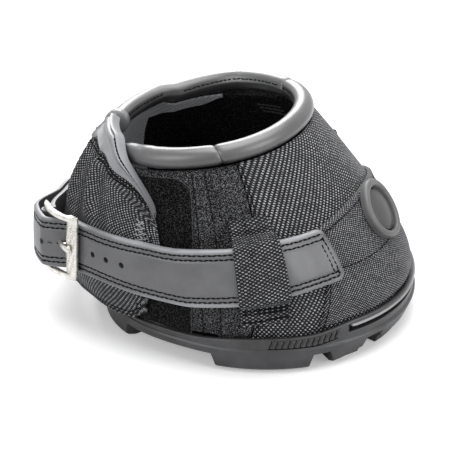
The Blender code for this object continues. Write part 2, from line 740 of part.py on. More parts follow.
def flap_top(degrees):
    """Rise of the flap's upper edge."""
    root, over_roll, front = FLAP_TOP_SHARES
    climb = smooth_step(degrees, FLAP_ROLL_END_ANGLE + 2.0, FLAP_ROLL_END_ANGLE + 12.0)
    ahead = smooth_step(degrees, 232.0, FLAP_FRONT_ANGLE)
    corner = min(max((degrees - FLAP_CORNER_ANGLE) / (FLAP_FRONT_ANGLE - FLAP_CORNER_ANGLE), 0.0), 1.0)
    rise = root + (over_roll - root) * climb + (front - over_roll) * ahead
    return rise - FLAP_FRONT_DROP_SHARE * (1.0 - math.sqrt(1.0 - corner * corner))


def flap_low(degrees):
    """Rise of the flap's lower edge, with a rounded front corner."""
    corner = smooth_step(degrees, 258.0, FLAP_FRONT_ANGLE)
    return over_rim(degrees) + FLAP_LOW_SHARE + FLAP_CORNER_SHARE * corner * corner


def flap_hang(degrees, rise):
    """How far the flap's lower edge stands off the form behind the heel."""
    behind = smooth_step(degrees, 150.0, 180.0) * (1.0 - smooth_step(degrees, 205.0, 232.0))
    return FLAP_HANG * behind * (1.0 - smooth_step(rise, *HANG_SHARES))


def add_flap():
    """Rear flap, its lining, its binding and its padded top."""
    origin = flap_axis()[0]
    start, end = FLAP_ROOT_ANGLE + SEAM_GAP_ANGLE, FLAP_FRONT_ANGLE

    def inner(degrees, share):
        rise = flap_low(degrees) + (flap_top(degrees) - flap_low(degrees)) * share
        stepped = -UPPER_THICKNESS + (FLAP_IN + UPPER_THICKNESS) * flap_shift(degrees)
        return stepped + flap_hang(degrees, rise)

    def outer(degrees, share):
        return inner(degrees, share) + FLAP_THICKNESS

    def front_lean(degrees, rise):
        share = smooth_step(degrees, 240.0, end)
        return degrees + (flap_front(rise) + 2.0 * HALF_TURN - end) * share

    columns = columns_between(start, end)
    mesh = panel(columns, even(WALL_ROWS), flap_low, flap_top, inner, outer, front_lean)
    add_body("rear_flap", "nylon", mesh, origin)

    def lining_low(degrees):
        return flap_low(degrees) + LINING_LOW_SHARE

    def lining_outer(degrees, share):
        rise = lining_low(degrees) + (FLAP_LINING_TOP_SHARE - lining_low(degrees)) * share
        flap_share = (rise - flap_low(degrees)) / (flap_top(degrees) - flap_low(degrees))
        return inner(degrees, flap_share) - CLEARANCE

    def lining_inner(degrees, share):
        return lining_outer(degrees, share) - FLAP_LINING_THICKNESS

    columns = columns_between(140.0, 192.0)
    rows = even(WALL_ROWS)
    mesh = panel(columns, rows, lining_low, lambda a: FLAP_LINING_TOP_SHARE, lining_inner, lining_outer)
    add_body("flap_lining", "lining", mesh, origin)
    binding_start = FLAP_ROLL_END_ANGLE + 3.0

    def binding_low(degrees):
        wide, narrow = BINDING_SHARES
        return flap_top(degrees) - wide + (wide - narrow) * smooth_step(degrees, 238.0, end)

    mesh = panel(
        columns_between(binding_start, end), even(8), binding_low, flap_top,
        FLAP_OUT + CLEARANCE, FLAP_OUT + CLEARANCE + BINDING_THICKNESS, front_lean,
    )
    add_body("flap_binding", "leather", mesh, origin)

    def roll_offset(degrees):
        return COLLAR_ROLL_OFFSET + (FLAP_ROLL_OFFSET - COLLAR_ROLL_OFFSET) * flap_shift(degrees)

    columns = columns_between(start, FLAP_ROLL_END_ANGLE, 5.0)
    add_body("flap_collar", "soft_leather", roll(columns, roll_offset), origin)


def sewn_width(degrees):
    """Width of a strap's sewn end, with rounded corners."""
    end = STRAP_END_ANGLE if degrees < 0.0 else FAR_STRAP_END_ANGLE
    from_end = (abs(degrees) - end) * round_speed(degrees, 0.55)
    missing = max(0.0, STRAP_END_CORNER - from_end)
    cut = STRAP_END_CORNER - math.sqrt(max(0.0, STRAP_END_CORNER**2 - missing**2))
    wider = smooth_step(abs(degrees), end + 11.0, end + 42.0)
    return STRAP_END_WIDTH - 2.0 * cut + (strap_width(degrees) - STRAP_END_WIDTH) * wider


def swing_axis():
    """Point and direction of the line that the near strap turns on, at the keeper's edge."""
    rise = strap_rise(-SWING_ANGLE)
    point, normal, _, up = wall_frame(-SWING_ANGLE, rise)
    return point + normal * HINGE_OFFSET, up


def tip_offset(degrees):
    """Inner offset of the belt's free end: under the near bar, over the eye, then on the strap."""
    over_eye = BAR_OFFSET + EYE_RADIUS + CLEARANCE + EYE_CLEARANCE
    on_strap = STRAP_IN + BUCKLE_STRAP_THICKNESS + 2.0 * CLEARANCE
    climb = smooth_step(-degrees, -NEAR_BAR_ANGLE + 3.5, -HEEL_BAR_ANGLE - 4.0)
    fall = smooth_step(-degrees, -HEEL_BAR_ANGLE + 4.0, -HEEL_BAR_ANGLE + 22.0)
    return STRAP_IN + (over_eye - STRAP_IN) * climb + (on_strap - over_eye) * fall


def add_straps():
    """Sewn ends, near belt with its free tip, and the far strap up to the flap's root."""
    ends = (
        ("strap_end_near", -1.0, STRAP_END_ANGLE, SWING_ANGLE, SEWN_STRAP_IN),
        ("strap_end_far", 1.0, FAR_STRAP_END_ANGLE, FAR_STRAP_SPLIT_ANGLE, SEWN_FAR_IN),
    )
    for name, sign, end, split, sewn_in in ends:
        def inner(degrees, end=end, sewn_in=sewn_in):
            return sewn_in + (STRAP_IN - sewn_in) * smooth_step(abs(degrees), end + 9.0, end + 21.0)

        def outer(degrees, inner=inner):
            return inner(degrees) + STRAP_THICKNESS

        corner = [end, end + 0.9, end + 2.6]
        columns = [sign * a for a in corner + columns_between(end + 4.0, split - SEAM_GAP_ANGLE)]
        add_body(name, "leather", band(sorted(columns), sewn_width, inner, outer))
    swing_point = swing_axis()[0]
    columns = columns_between(-SWING_ANGLE - SEAM_GAP_ANGLE, TIP_ROOT_ANGLE + SEAM_GAP_ANGLE)
    side = add_body("strap_side", "leather", band(columns, strap_width, STRAP_IN, STRAP_OUT), swing_point)
    for k in range(3):
        degrees = TIP_ROOT_ANGLE + (HOLE_PITCH * k + HOLE_LENGTH) / round_speed(TIP_ROOT_ANGLE, 0.5)
        combine(side, hole_cutter(f"belt_hole_{k}", degrees, STRAP_IN, HOLE_LENGTH, HOLE_LENGTH), "DIFFERENCE")

    def tip_width(degrees):
        from_end = (degrees - TIP_END_ANGLE) * round_speed(degrees, 0.5)
        missing = max(0.0, 1.0 - from_end / TIP_POINT_LENGTH)
        return BUCKLE_BELT_WIDTH * (0.25 + 0.75 * math.sqrt(max(0.0, 1.0 - missing * missing)))

    def tip_outer(degrees):
        return tip_offset(degrees) + STRAP_THICKNESS

    columns = columns_between(TIP_ROOT_ANGLE - SEAM_GAP_ANGLE, TIP_END_ANGLE, 3.0)
    tip = add_body("strap_tip", "leather", band(columns, tip_width, tip_offset, tip_outer), swing_point)
    middle = (NEAR_BAR_ANGLE + HEEL_BAR_ANGLE) * 0.5
    combine(tip, hole_cutter("prong_slot", middle, STRAP_IN, SLOT_LENGTH, SLOT_WIDTH), "DIFFERENCE")
    columns = columns_between(FAR_STRAP_SPLIT_ANGLE + SEAM_GAP_ANGLE, FLAP_ROOT_ANGLE - SEAM_GAP_ANGLE)
    add_body("strap_far_side", "leather", band(columns, strap_width, STRAP_IN, STRAP_OUT))


def hole_cutter(name, degrees, offset, length, width):
    """Oval post through the strap, long way round the boot."""
    point, normal, round_wall, up = wall_frame(degrees, strap_rise(degrees))
    depth = BAR_OFFSET + EYE_RADIUS + STRAP_THICKNESS
    half_run = (length - width) * 0.5
    mesh = bmesh.new()
    rings = []
    for level in (offset - STRAP_THICKNESS, offset + depth):
        ring = []
        for k in range(ROUND_STEPS):
            turn = math.tau * (k + 0.5) / ROUND_STEPS
            run = math.copysign(half_run, math.cos(turn)) + width * 0.5 * math.cos(turn)
            side = width * 0.5 * math.sin(turn)
            ring.append(mesh.verts.new(point + normal * level + round_wall * run + up * side))
        rings.append(ring)
    skin_rings(mesh, rings)
    return add_cutter(name, mesh)


def add_keepers():
    """Webbing loop over each strap, sewn to the upper above and below it."""
    edge = STRAP_WIDTH * 0.5
    keepers = (("keeper_near", -1.0, KEEPER_ANGLES), ("keeper_far", 1.0, FAR_KEEPER_ANGLES))
    for name, sign, angles in keepers:
        def corner(degrees, mark, is_outer):
            step_out = KEEPER_WALL_ROOM if is_outer else 0.0
            ends = (-edge - KEEPER_FOOT_BELOW, edge + KEEPER_FOOT_ABOVE)
            places = (
                ends[0], (ends[0] - edge - KEEPER_WALL_LENGTH) * 0.5,
                -edge - KEEPER_WALL_LENGTH - KEEPER_WALL_ROOM - step_out, -edge - KEEPER_WALL_ROOM - step_out,
                -edge * 0.45, edge * 0.45,
                edge + KEEPER_WALL_ROOM + step_out, edge + KEEPER_WALL_LENGTH + KEEPER_WALL_ROOM + step_out,
                ends[1],
            )
            raised = 3 <= mark <= 6
            offset = (KEEPER_IN if raised else CLEARANCE) + (KEEPER_THICKNESS if is_outer else 0.0)
            rise = strap_rise(degrees, places[mark])
            leaned = sign * (abs(degrees) - KEEPER_LEAN * (rise - 0.5))
            if raised:
                return strap_point(leaned, places[mark], offset)
            return place(leaned, rise, offset)

        columns = columns_between(sign * angles[0], sign * angles[1], 3.0)
        add_body(name, "webbing", block(columns, list(range(9)), corner))


def buckle_frame_axes():
    """Heel bar's centre, near bar's centre and the buckle's own directions."""
    heel_rise, near_rise = strap_rise(HEEL_BAR_ANGLE), strap_rise(NEAR_BAR_ANGLE)
    heel_point, heel_normal, _, heel_up = wall_frame(HEEL_BAR_ANGLE, heel_rise)
    near_point, near_normal, _, near_up = wall_frame(NEAR_BAR_ANGLE, near_rise)
    near_offset = STRAP_OUT + NEAR_BAR_ROOM + NEAR_BAR_THICKNESS * 0.5
    heel = heel_point + heel_normal * BAR_OFFSET
    near = near_point + near_normal * near_offset
    ahead = (near - heel).normalized()
    up = heel_up + near_up
    up = (up - ahead * up.dot(ahead)).normalized()
    out = up.cross(ahead)
    out = out if out.dot(heel_normal) > 0.0 else -out
    return heel, near, ahead, out, up, near_normal


def prism(corners, direction, low, high):
    """Solid with the given outline, swept along a direction from low to high."""
    mesh = bmesh.new()
    rings = [[mesh.verts.new(p + direction * level) for p in corners] for level in (low, high)]
    skin_rings(mesh, rings)
    return mesh


def circle(centre, first, second, radius, steps=ROUND_STEPS):
    """Points of a circle in the plane of two directions."""
    turns = [math.tau * (k + 0.5) / steps for k in range(steps)]
    return [centre + first * (radius * math.cos(t)) + second * (radius * math.sin(t)) for t in turns]


def add_buckle():
    """Cast frame with a round heel bar, broad near bar and bowed side arms, and its prong."""
    heel, near, ahead, out, up, near_normal = buckle_frame_axes()
    half = BUCKLE_BELT_WIDTH * 0.5 + BUCKLE_SIDE_ROOM
    reach = half + BUCKLE_ARM_THICKNESS
    run = (near - heel).length
    thick = NEAR_BAR_THICKNESS * 0.5
    near_along = near_normal.cross(up).normalized()
    near_along = near_along if near_along.dot(ahead) > 0.0 else -near_along
    bar_out = up.cross(near_along)
    bar_out = bar_out if bar_out.dot(out) > 0.0 else -bar_out
    wide = NEAR_BAR_WIDTH * 0.5
    bevel = NEAR_BAR_THICKNESS * 0.3
    bar = [
        near + near_along * a + bar_out * b
        for a, b in (
            (-wide, -thick + bevel), (-wide + bevel, -thick), (wide - bevel, -thick), (wide, -thick + bevel),
            (wide, thick - bevel), (wide - bevel, thick), (-wide + bevel, thick), (-wide, thick - bevel),
        )
    ]
    frame = add_body("buckle_frame", "metal", prism(bar, up, -half - thick, half + thick), heel)
    pin = prism(circle(heel, ahead, out, BAR_RADIUS, 16), up, -half - thick, half + thick)
    combine(frame, add_cutter("heel_bar", pin), "UNION")
    depth = BUCKLE_ARM_DEPTH * 0.5
    for name, sign in (("upper_arm", 1.0), ("lower_arm", -1.0)):
        outer_edge, inner_edge = [], []
        for share in even(10):
            along = -depth + (run + wide + depth) * share
            bow = BUCKLE_ARM_BOW * math.sin(math.pi * share)
            end_half = depth * (0.55 + 0.45 * math.sin(math.pi * share) ** 0.5)
            middle = heel + ahead * along + out * bow
            outer_edge.append(middle + out * end_half)
            inner_edge.append(middle - out * end_half)
        low, high = sorted((sign * half, sign * reach))
        arm = prism(outer_edge + inner_edge[::-1], up, low, high)
        combine(frame, add_cutter(name, arm), "UNION")
    ring_in = BAR_RADIUS + EYE_CLEARANCE
    ring_out = ring_in + PRONG_RING_WALL
    half_width = PRONG_WIDTH * 0.5
    tip = near + bar_out * (thick + CLEARANCE + PRONG_THICKNESS * 0.3) + near_along * (wide + PRONG_OVERHANG)
    side = Vector(ahead)
    lower = [
        heel + ahead * (ring_out * 0.75) + out * (ring_out * 0.35),
        heel + ahead * (run * 0.4) + out * (BAR_RADIUS + thick),
        near - near_along * (wide + PRONG_ROOM) + bar_out * (thick + CLEARANCE),
        near + near_along * wide + bar_out * (thick + CLEARANCE),
        tip,
    ]
    upper = [p + out * (PRONG_THICKNESS * share) for p, share in zip(lower, (0.9, 1.0, 1.0, 0.8, 0.3))]
    blade = prism(lower + upper[::-1], up, -half_width, half_width)
    ring = prism(circle(heel, side, out, ring_out), up, -half_width, half_width)
    prong = add_body("prong", "metal", ring, heel)
    combine(prong, add_cutter("prong_blade", blade), "UNION")
    bore = prism(circle(heel, side, out, ring_in), up, -half_width * 3.0, half_width * 3.0)
    combine(prong, add_cutter("prong_bore", bore), "DIFFERENCE")


def add_buckle_strap():
    """Strap on the flap that is folded round the buckle's heel bar, with a notch for the prong."""
    heel, _, ahead, out, up, _ = buckle_frame_axes()
    start = FLAP_ROOT_ANGLE + SEAM_GAP_ANGLE
    end = HEEL_BAR_ANGLE + 2.0 * HALF_TURN
    half = BUCKLE_BELT_WIDTH * 0.5 - CLEARANCE

    def width(degrees):
        return BUCKLE_BELT_WIDTH - 2.0 * CLEARANCE * smooth_step(degrees, end - 12.0, end)

    def inner(degrees):
        return STRAP_IN + HEEL_BAR_STAND * smooth_step(degrees, end - 22.0, end - 3.0)

    def outer(degrees):
        return inner(degrees) + BUCKLE_STRAP_THICKNESS

    columns = columns_between(start, end, 3.0)
    mesh = band(columns, width, inner, outer)
    strap = add_body("buckle_strap", "leather", mesh, flap_axis()[0])
    eye = prism(circle(heel, ahead, out, EYE_RADIUS), up, -half, half)
    combine(strap, add_cutter("strap_eye", eye), "UNION")
    bore = prism(circle(heel, ahead, out, BAR_RADIUS + EYE_CLEARANCE), up, -half * 2.0, half * 2.0)
    combine(strap, add_cutter("eye_bore", bore), "DIFFERENCE")
    notch_half = PRONG_WIDTH * 0.5 + PRONG_ROOM
    reach = EYE_RADIUS + EYE_CLEARANCE
    far = reach * 2.0
    sides = ((-reach, -far), (far, -far), (far, far), (-reach, far))
    notch = [heel + ahead * a + out * b for a, b in sides]
    combine(strap, add_cutter("prong_notch", prism(notch, up, -notch_half, notch_half)), "DIFFERENCE")


def main():
    """Build the boot, sole first and buckle last."""
    for leftover in list(bpy.data.objects):
        bpy.data.objects.remove(leftover, do_unlink=True)
    add_outsole()
    add_toe_strip()
    add_insole()
    add_upper()
    add_toe_overlays()
    add_badge()
    add_collar()
    add_closure()
    add_flap()
    add_straps()
    add_keepers()
    add_buckle_strap()
    add_buckle()
    swing_point, swing_direction = swing_axis()
    root_point, root_direction = flap_axis()
    heel, _, _, _, up, _ = buckle_frame_axes()
    for name, point, direction in (
        ("near strap", swing_point, swing_direction),
        ("flap", root_point, root_direction),
        ("buckle", heel, up),
    ):
        print(name, "turns at", [round(c, 6) for c in point], "about", [round(c, 6) for c in direction])


main()
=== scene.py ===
"""Looks of a rear-opening horse hoof boot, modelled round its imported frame, in metres.

A place on the boot's upper is an angle round it in degrees (0 at the toe, negative on the near
side), a rise from the sole (0) to the collar (1), and an offset outwards from the upper's skin.
"""

from __future__ import annotations

import json
import logging
import math
from dataclasses import dataclass
from enum import Enum
from functools import lru_cache
from typing import Callable, Iterable, Sequence

import bmesh
import bpy
from mathutils import Matrix, Vector, noise

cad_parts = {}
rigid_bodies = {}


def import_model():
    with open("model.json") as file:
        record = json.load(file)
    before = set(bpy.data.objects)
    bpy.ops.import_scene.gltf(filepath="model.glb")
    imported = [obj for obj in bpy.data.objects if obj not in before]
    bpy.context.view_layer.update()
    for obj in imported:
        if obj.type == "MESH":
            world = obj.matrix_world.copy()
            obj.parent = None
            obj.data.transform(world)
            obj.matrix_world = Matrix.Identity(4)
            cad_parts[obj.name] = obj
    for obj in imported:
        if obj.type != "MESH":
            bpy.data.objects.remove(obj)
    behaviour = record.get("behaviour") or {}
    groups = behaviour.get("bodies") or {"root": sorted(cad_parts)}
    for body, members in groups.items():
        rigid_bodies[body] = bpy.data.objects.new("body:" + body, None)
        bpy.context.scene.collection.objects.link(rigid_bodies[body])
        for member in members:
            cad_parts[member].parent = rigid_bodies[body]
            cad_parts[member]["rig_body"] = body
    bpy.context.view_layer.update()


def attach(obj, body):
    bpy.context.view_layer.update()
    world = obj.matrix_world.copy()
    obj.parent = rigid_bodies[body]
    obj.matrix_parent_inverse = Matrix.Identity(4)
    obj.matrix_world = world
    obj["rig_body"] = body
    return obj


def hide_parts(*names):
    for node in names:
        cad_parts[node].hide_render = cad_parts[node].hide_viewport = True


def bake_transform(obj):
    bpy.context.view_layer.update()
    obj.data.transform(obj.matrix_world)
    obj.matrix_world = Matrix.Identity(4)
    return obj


LOG = logging.getLogger("hoof_boot")

HALF_TURN = 180.0
FULL_TURN = 360.0
EDGE_SHARES = (0.0, 0.25, 0.6)
TINY_TURN = 1e-4
WALL_RUN = 0.075  # rough height of the wall
DEGREE_RUN = 0.0014  # rough length of a degree round the wall
FRONT_RUN = 0.0012  # the same at the flap's front

Pair = tuple[float, float]
Values = tuple[float, ...]
Mesh = bmesh.types.BMesh
Piece = bpy.types.Object
Socket = bpy.types.NodeSocket
Node = bpy.types.Node
Spot = tuple[Vector, Vector]
Corner = Callable[[float, float, bool], Vector]
Edge = Callable[[float], float]
Face = Callable[[float, float], float]


class Side(Enum):
    """Side of the boot, as the sign of its angles."""

    NEAR = -1.0
    FAR = 1.0

    @property
    def word(self) -> str:
        """The side as it stands in the names of pieces."""
        return self.name.lower()


def smooth_step(value: float, start: float, end: float) -> float:
    """Ease from 0 at start to 1 at end.

    Args:
        value: Where to read the curve.
        start: Value at which it leaves 0.
        end: Value at which it reaches 1.

    Returns:
        A share from 0 to 1.
    """
    share = min(max((value - start) / (end - start), 0.0), 1.0)
    return share * share * (3.0 - 2.0 * share)


def between(low: float, high: float, share: float) -> float:
    """Value at a share of the way from low to high."""
    return low + (high - low) * share


def steps(start: float, end: float, count: int) -> list[float]:
    """Values from start to end in equal steps, both ends included."""
    return [between(start, end, k / count) for k in range(count + 1)]


def crowded(start: float, end: float, count: int, edge: float) -> list[float]:
    """Equal steps with three more lines close to each end, where an edge is rounded.

    Args:
        start: First value.
        end: Last value.
        count: Number of equal steps between the rounded edges.
        edge: Width of a rounded edge.

    Returns:
        The values in order.
    """
    turn = math.copysign(edge, end - start)
    near = [start + turn * share for share in EDGE_SHARES]
    far = [end - turn * share for share in reversed(EDGE_SHARES)]
    return [*near, *steps(start + turn, end - turn, count), *far]


def interpolate(value: float, places: Sequence[float], levels: Sequence[float]) -> float:
    """Level at a value, straight between the given places."""
    for first, second, low, high in zip(places, places[1:], levels, levels[1:]):
        if value <= second:
            return between(low, high, min(max((value - first) / (second - first), 0.0), 1.0))
    return levels[-1]


def edge_drop(distance: float, radius: float) -> float:
    """How far a rounded edge falls away at a distance from the border."""
    short = max(0.0, 1.0 - max(distance, 0.0) / radius)
    return radius * (1.0 - math.sqrt(max(0.0, 1.0 - short * short)))


def circle(share: float) -> Pair:
    """Cosine and sine at a share of a turn."""
    return math.cos(math.tau * share), math.sin(math.tau * share)


def squared(value: float, power: float) -> float:
    """Cosine or sine to a power under 1, with its sign, which squares a round section."""
    return math.copysign(abs(value) ** power, value)


@dataclass(frozen=True)
class Ease:
    """Smooth change between two levels as a value goes from start to end."""

    start: float
    end: float
    low: float = 0.0
    high: float = 1.0

    def at(self, value: float) -> float:
        """Level at a value."""
        return between(self.low, self.high, smooth_step(value, self.start, self.end))


@dataclass(frozen=True)
class Bell:
    """Rounded bump: its middle, its width and its height."""

    middle: float
    width: float
    height: float = 1.0

    def at(self, value: float) -> float:
        """Height of the bump at a value."""
        return self.height * math.exp(-((value - self.middle) / self.width) ** 2)


@dataclass(frozen=True)
class BootForm:
    """Form of the upper and of the sole's plan, in metres, that every layer follows."""

    seat_centre: float = 0.006
    seat_front: float = 0.078
    seat_rear: float = 0.08
    sole_rear: float = 0.0705
    seat_half_width: float = 0.072
    seat_height: float = 0.0119
    belly_centre: float = -0.006
    belly_front: float = 0.098
    belly_rear: float = 0.102
    belly_half_width: float = 0.077
    belly_height_front: float = 0.0364
    belly_height_side: float = 0.0444
    belly_height_rear: float = 0.0304
    collar_centre: float = -0.024
    collar_front: float = 0.054
    collar_rear: float = 0.049
    collar_half_width: float = 0.0535
    collar_height: float = 0.0909
    collar_tilt: float = 0.16
    front_square: float = 1.95
    rear_square: float = 2.6
    collar_square: float = 2.1
    clearance: float = 0.0004
    rim_side: float = 0.0159
    rim_heel: float = 0.0149
    rim_front: float = 0.0194
    rim_toe: float = 0.0231
    rim_toe_fade: Ease = Ease(28.0, 50.0, 1.0, 0.0)
    rim_front_fade: Ease = Ease(62.0, 96.0, 1.0, 0.0)
    rim_heel_start: Ease = Ease(96.0, 120.0)
    foot_on_rim: Ease = Ease(76.0, 84.0)
    belt_width: float = 0.029
    buckle_belt_width: float = 0.0255
    belt_taper: Ease = Ease(84.0, 114.0)
    belt_flat: Ease = Ease(44.0, 64.0)
    belt_turns: Values = (28.0, 50.0, 67.0, 85.0, 100.0, 115.0, 180.0)
    belt_rises: Values = (0.58, 0.55, 0.515, 0.485, 0.485, 0.495, 0.46)
    sway: float = 0.0005
    sway_scale: float = 42.0
    sway_start: Ease = Ease(0.15, 0.4)

    @staticmethod
    def oval(centre: float, front: float, rear: float, half_width: float,
             squares: Pair, angle: float) -> Pair:
        """Point of an oval with unlike halves.

        Args:
            centre: Place of its middle along the boot.
            front: Reach to the toe.
            rear: Reach to the heel.
            half_width: Reach to either side.
            squares: Squareness of the front and of the rear half.
            angle: Angle in radians.

        Returns:
            Places along and across the boot.
        """
        along, across = math.cos(angle), math.sin(angle)
        power = 2.0 / (squares[0] if along >= 0.0 else squares[1])
        reach = front if along >= 0.0 else rear
        return centre + reach * squared(along, power), squared(across, power) * half_width

    def seat_point(self, degrees: float, outset: float, height: float, share: float = 1.0) -> Vector:
        """Point on the sole's plan, outset from the seat and drawn in to a share of it."""
        x, y = self.oval(0.0, (self.seat_front + outset) * share, (self.sole_rear + outset) * share,
                         (self.seat_half_width + outset) * share,
                         (self.front_square, self.rear_square), math.radians(degrees))
        return Vector((self.seat_centre + x, y, height))

    @lru_cache(maxsize=20000)
    def controls(self, angle: float) -> tuple[Vector, Vector, Vector]:
        """Control points of the wall's curve, from the seat to the collar.

        Args:
            angle: Angle in radians.

        Returns:
            The seat, belly and collar points.
        """
        squares = (self.front_square, self.rear_square)
        seat = self.oval(self.seat_centre, self.seat_front, self.seat_rear, self.seat_half_width,
                         squares, angle)
        belly = self.oval(self.belly_centre, self.belly_front, self.belly_rear,
                          self.belly_half_width, squares, angle)
        collar = self.oval(self.collar_centre, self.collar_front, self.collar_rear,
                           self.collar_half_width, (self.collar_square, self.collar_square), angle)
        facing = math.cos(angle)
        end = self.belly_height_front if facing > 0.0 else self.belly_height_rear
        middle = between(self.belly_height_side, end, facing * facing)
        top = self.collar_height + self.collar_tilt * (collar[0] - self.collar_centre)
        return Vector((*seat, self.seat_height)), Vector((*belly, middle)), Vector((*collar, top))

    def wall_point(self, angle: float, rise: float) -> Vector:
        """Point of the skin, angle in radians."""
        seat, belly, collar = self.controls(angle)
        back = 1.0 - rise
        return seat * (back * back) + belly * (2.0 * rise * back) + collar * (rise * rise)

    def frame(self, degrees: float, rise: float) -> tuple[Vector, Vector, Vector, Vector]:
        """Point, outward normal, direction round the wall and direction up it."""
        angle = math.radians(degrees)
        seat, belly, collar = self.controls(angle)
        round_wall = self.wall_point(angle + TINY_TURN, rise) - self.wall_point(angle - TINY_TURN, rise)
        up_wall = (belly - seat) * (1.0 - rise) + (collar - belly) * rise
        normal = round_wall.cross(up_wall).normalized()
        return self.wall_point(angle, rise), normal, round_wall.normalized(), up_wall.normalized()

    def place(self, degrees: float, rise: float, offset: float) -> Vector:
        """Point at an offset out from the skin, with the slight sway of worn cloth."""
        point, normal, _, _ = self.frame(degrees, rise)
        sway = self.sway * self.sway_start.at(rise) * noise.noise(point * self.sway_scale)
        return point + normal * (offset + sway)

    def spot(self, degrees: float, rise: float, offset: float) -> Spot:
        """Point at an offset out from the skin, and the outward normal."""
        return self.place(degrees, rise, offset), self.frame(degrees, rise)[1]

    def rise_speed(self, degrees: float, rise: float) -> float:
        """Length of wall for a whole unit of rise."""
        seat, belly, collar = self.controls(math.radians(degrees))
        return 2.0 * ((belly - seat) * (1.0 - rise) + (collar - belly) * rise).length

    def round_speed(self, degrees: float, rise: float) -> float:
        """Length of wall for a degree round it."""
        angle = math.radians(degrees)
        ahead = self.wall_point(angle + TINY_TURN, rise)
        return (ahead - self.wall_point(angle, rise)).length * math.radians(1.0) / TINY_TURN

    @lru_cache(maxsize=20000)
    def rise_at_height(self, degrees: float, height: float, halvings: int = 24) -> float:
        """Rise at which the wall reaches a height, found by halving."""
        low, high = 0.0, 1.0
        for _ in range(halvings):
            middle = (low + high) * 0.5
            if self.wall_point(math.radians(degrees), middle).z < height:
                low = middle
            else:
                high = middle
        return low

    @staticmethod
    def from_toe(degrees: float) -> float:
        """Angle from the toe, whichever way round."""
        return abs((degrees + HALF_TURN) % FULL_TURN - HALF_TURN)

    def strap_rise(self, degrees: float, above: float = 0.0) -> float:
        """Rise of a line that keeps a distance above the belt's middle."""
        middle = interpolate(self.from_toe(degrees), self.belt_turns, self.belt_rises)
        return middle + above / self.rise_speed(degrees, middle)

    def strap_point(self, degrees: float, above: float, offset: float) -> Vector:
        """Point of a belt: on the curved wall in front, flat across from the keeper back."""
        curved = self.place(degrees, self.strap_rise(degrees, above), offset)
        point, normal, _, up = self.frame(degrees, self.strap_rise(degrees))
        return curved.lerp(point + normal * offset + up * above, self.belt_flat.at(self.from_toe(degrees)))

    def strap_width(self, degrees: float) -> float:
        """Width of the belt, which narrows to fit the buckle."""
        return between(self.belt_width, self.buckle_belt_width, self.belt_taper.at(self.from_toe(degrees)))

    def rim_height(self, degrees: float) -> float:
        """Top of the sole's rim."""
        turn = self.from_toe(degrees)
        toe = (self.rim_toe - self.rim_front) * self.rim_toe_fade.at(turn)
        front = (self.rim_front - self.rim_side) * self.rim_front_fade.at(turn)
        return self.rim_side + toe + front + (self.rim_heel - self.rim_side) * self.rim_heel_start.at(turn)

    def wall_foot(self, degrees: float) -> float:
        """Rise of the upper's lower edge: inside the rim in front, on top of it behind."""
        on_rim = self.rise_at_height(degrees, self.rim_height(degrees) + self.clearance)
        return on_rim * self.foot_on_rim.at(self.from_toe(degrees))

    def over_rim(self, degrees: float) -> float:
        """Rise of the lower edge of what lies on the upper's outside."""
        return self.rise_at_height(degrees, self.rim_height(degrees) + 2.0 * self.clearance)


FORM = BootForm()


@dataclass(frozen=True)
class Layers:
    """Offsets of the boot's layers from the skin, in metres."""

    upper: float = 0.003
    lining: float = 0.0022
    loop_out: float = 0.0012
    hook_in: float = 0.0016
    flap_in: float = 0.0026
    flap_out: float = 0.0046
    strap_in: float = 0.005
    strap_out: float = 0.0084
    keeper_in: float = 0.0088
    overlay_out: float = 0.0019
    sewn_in: float = 0.0023


LAYERS = Layers()


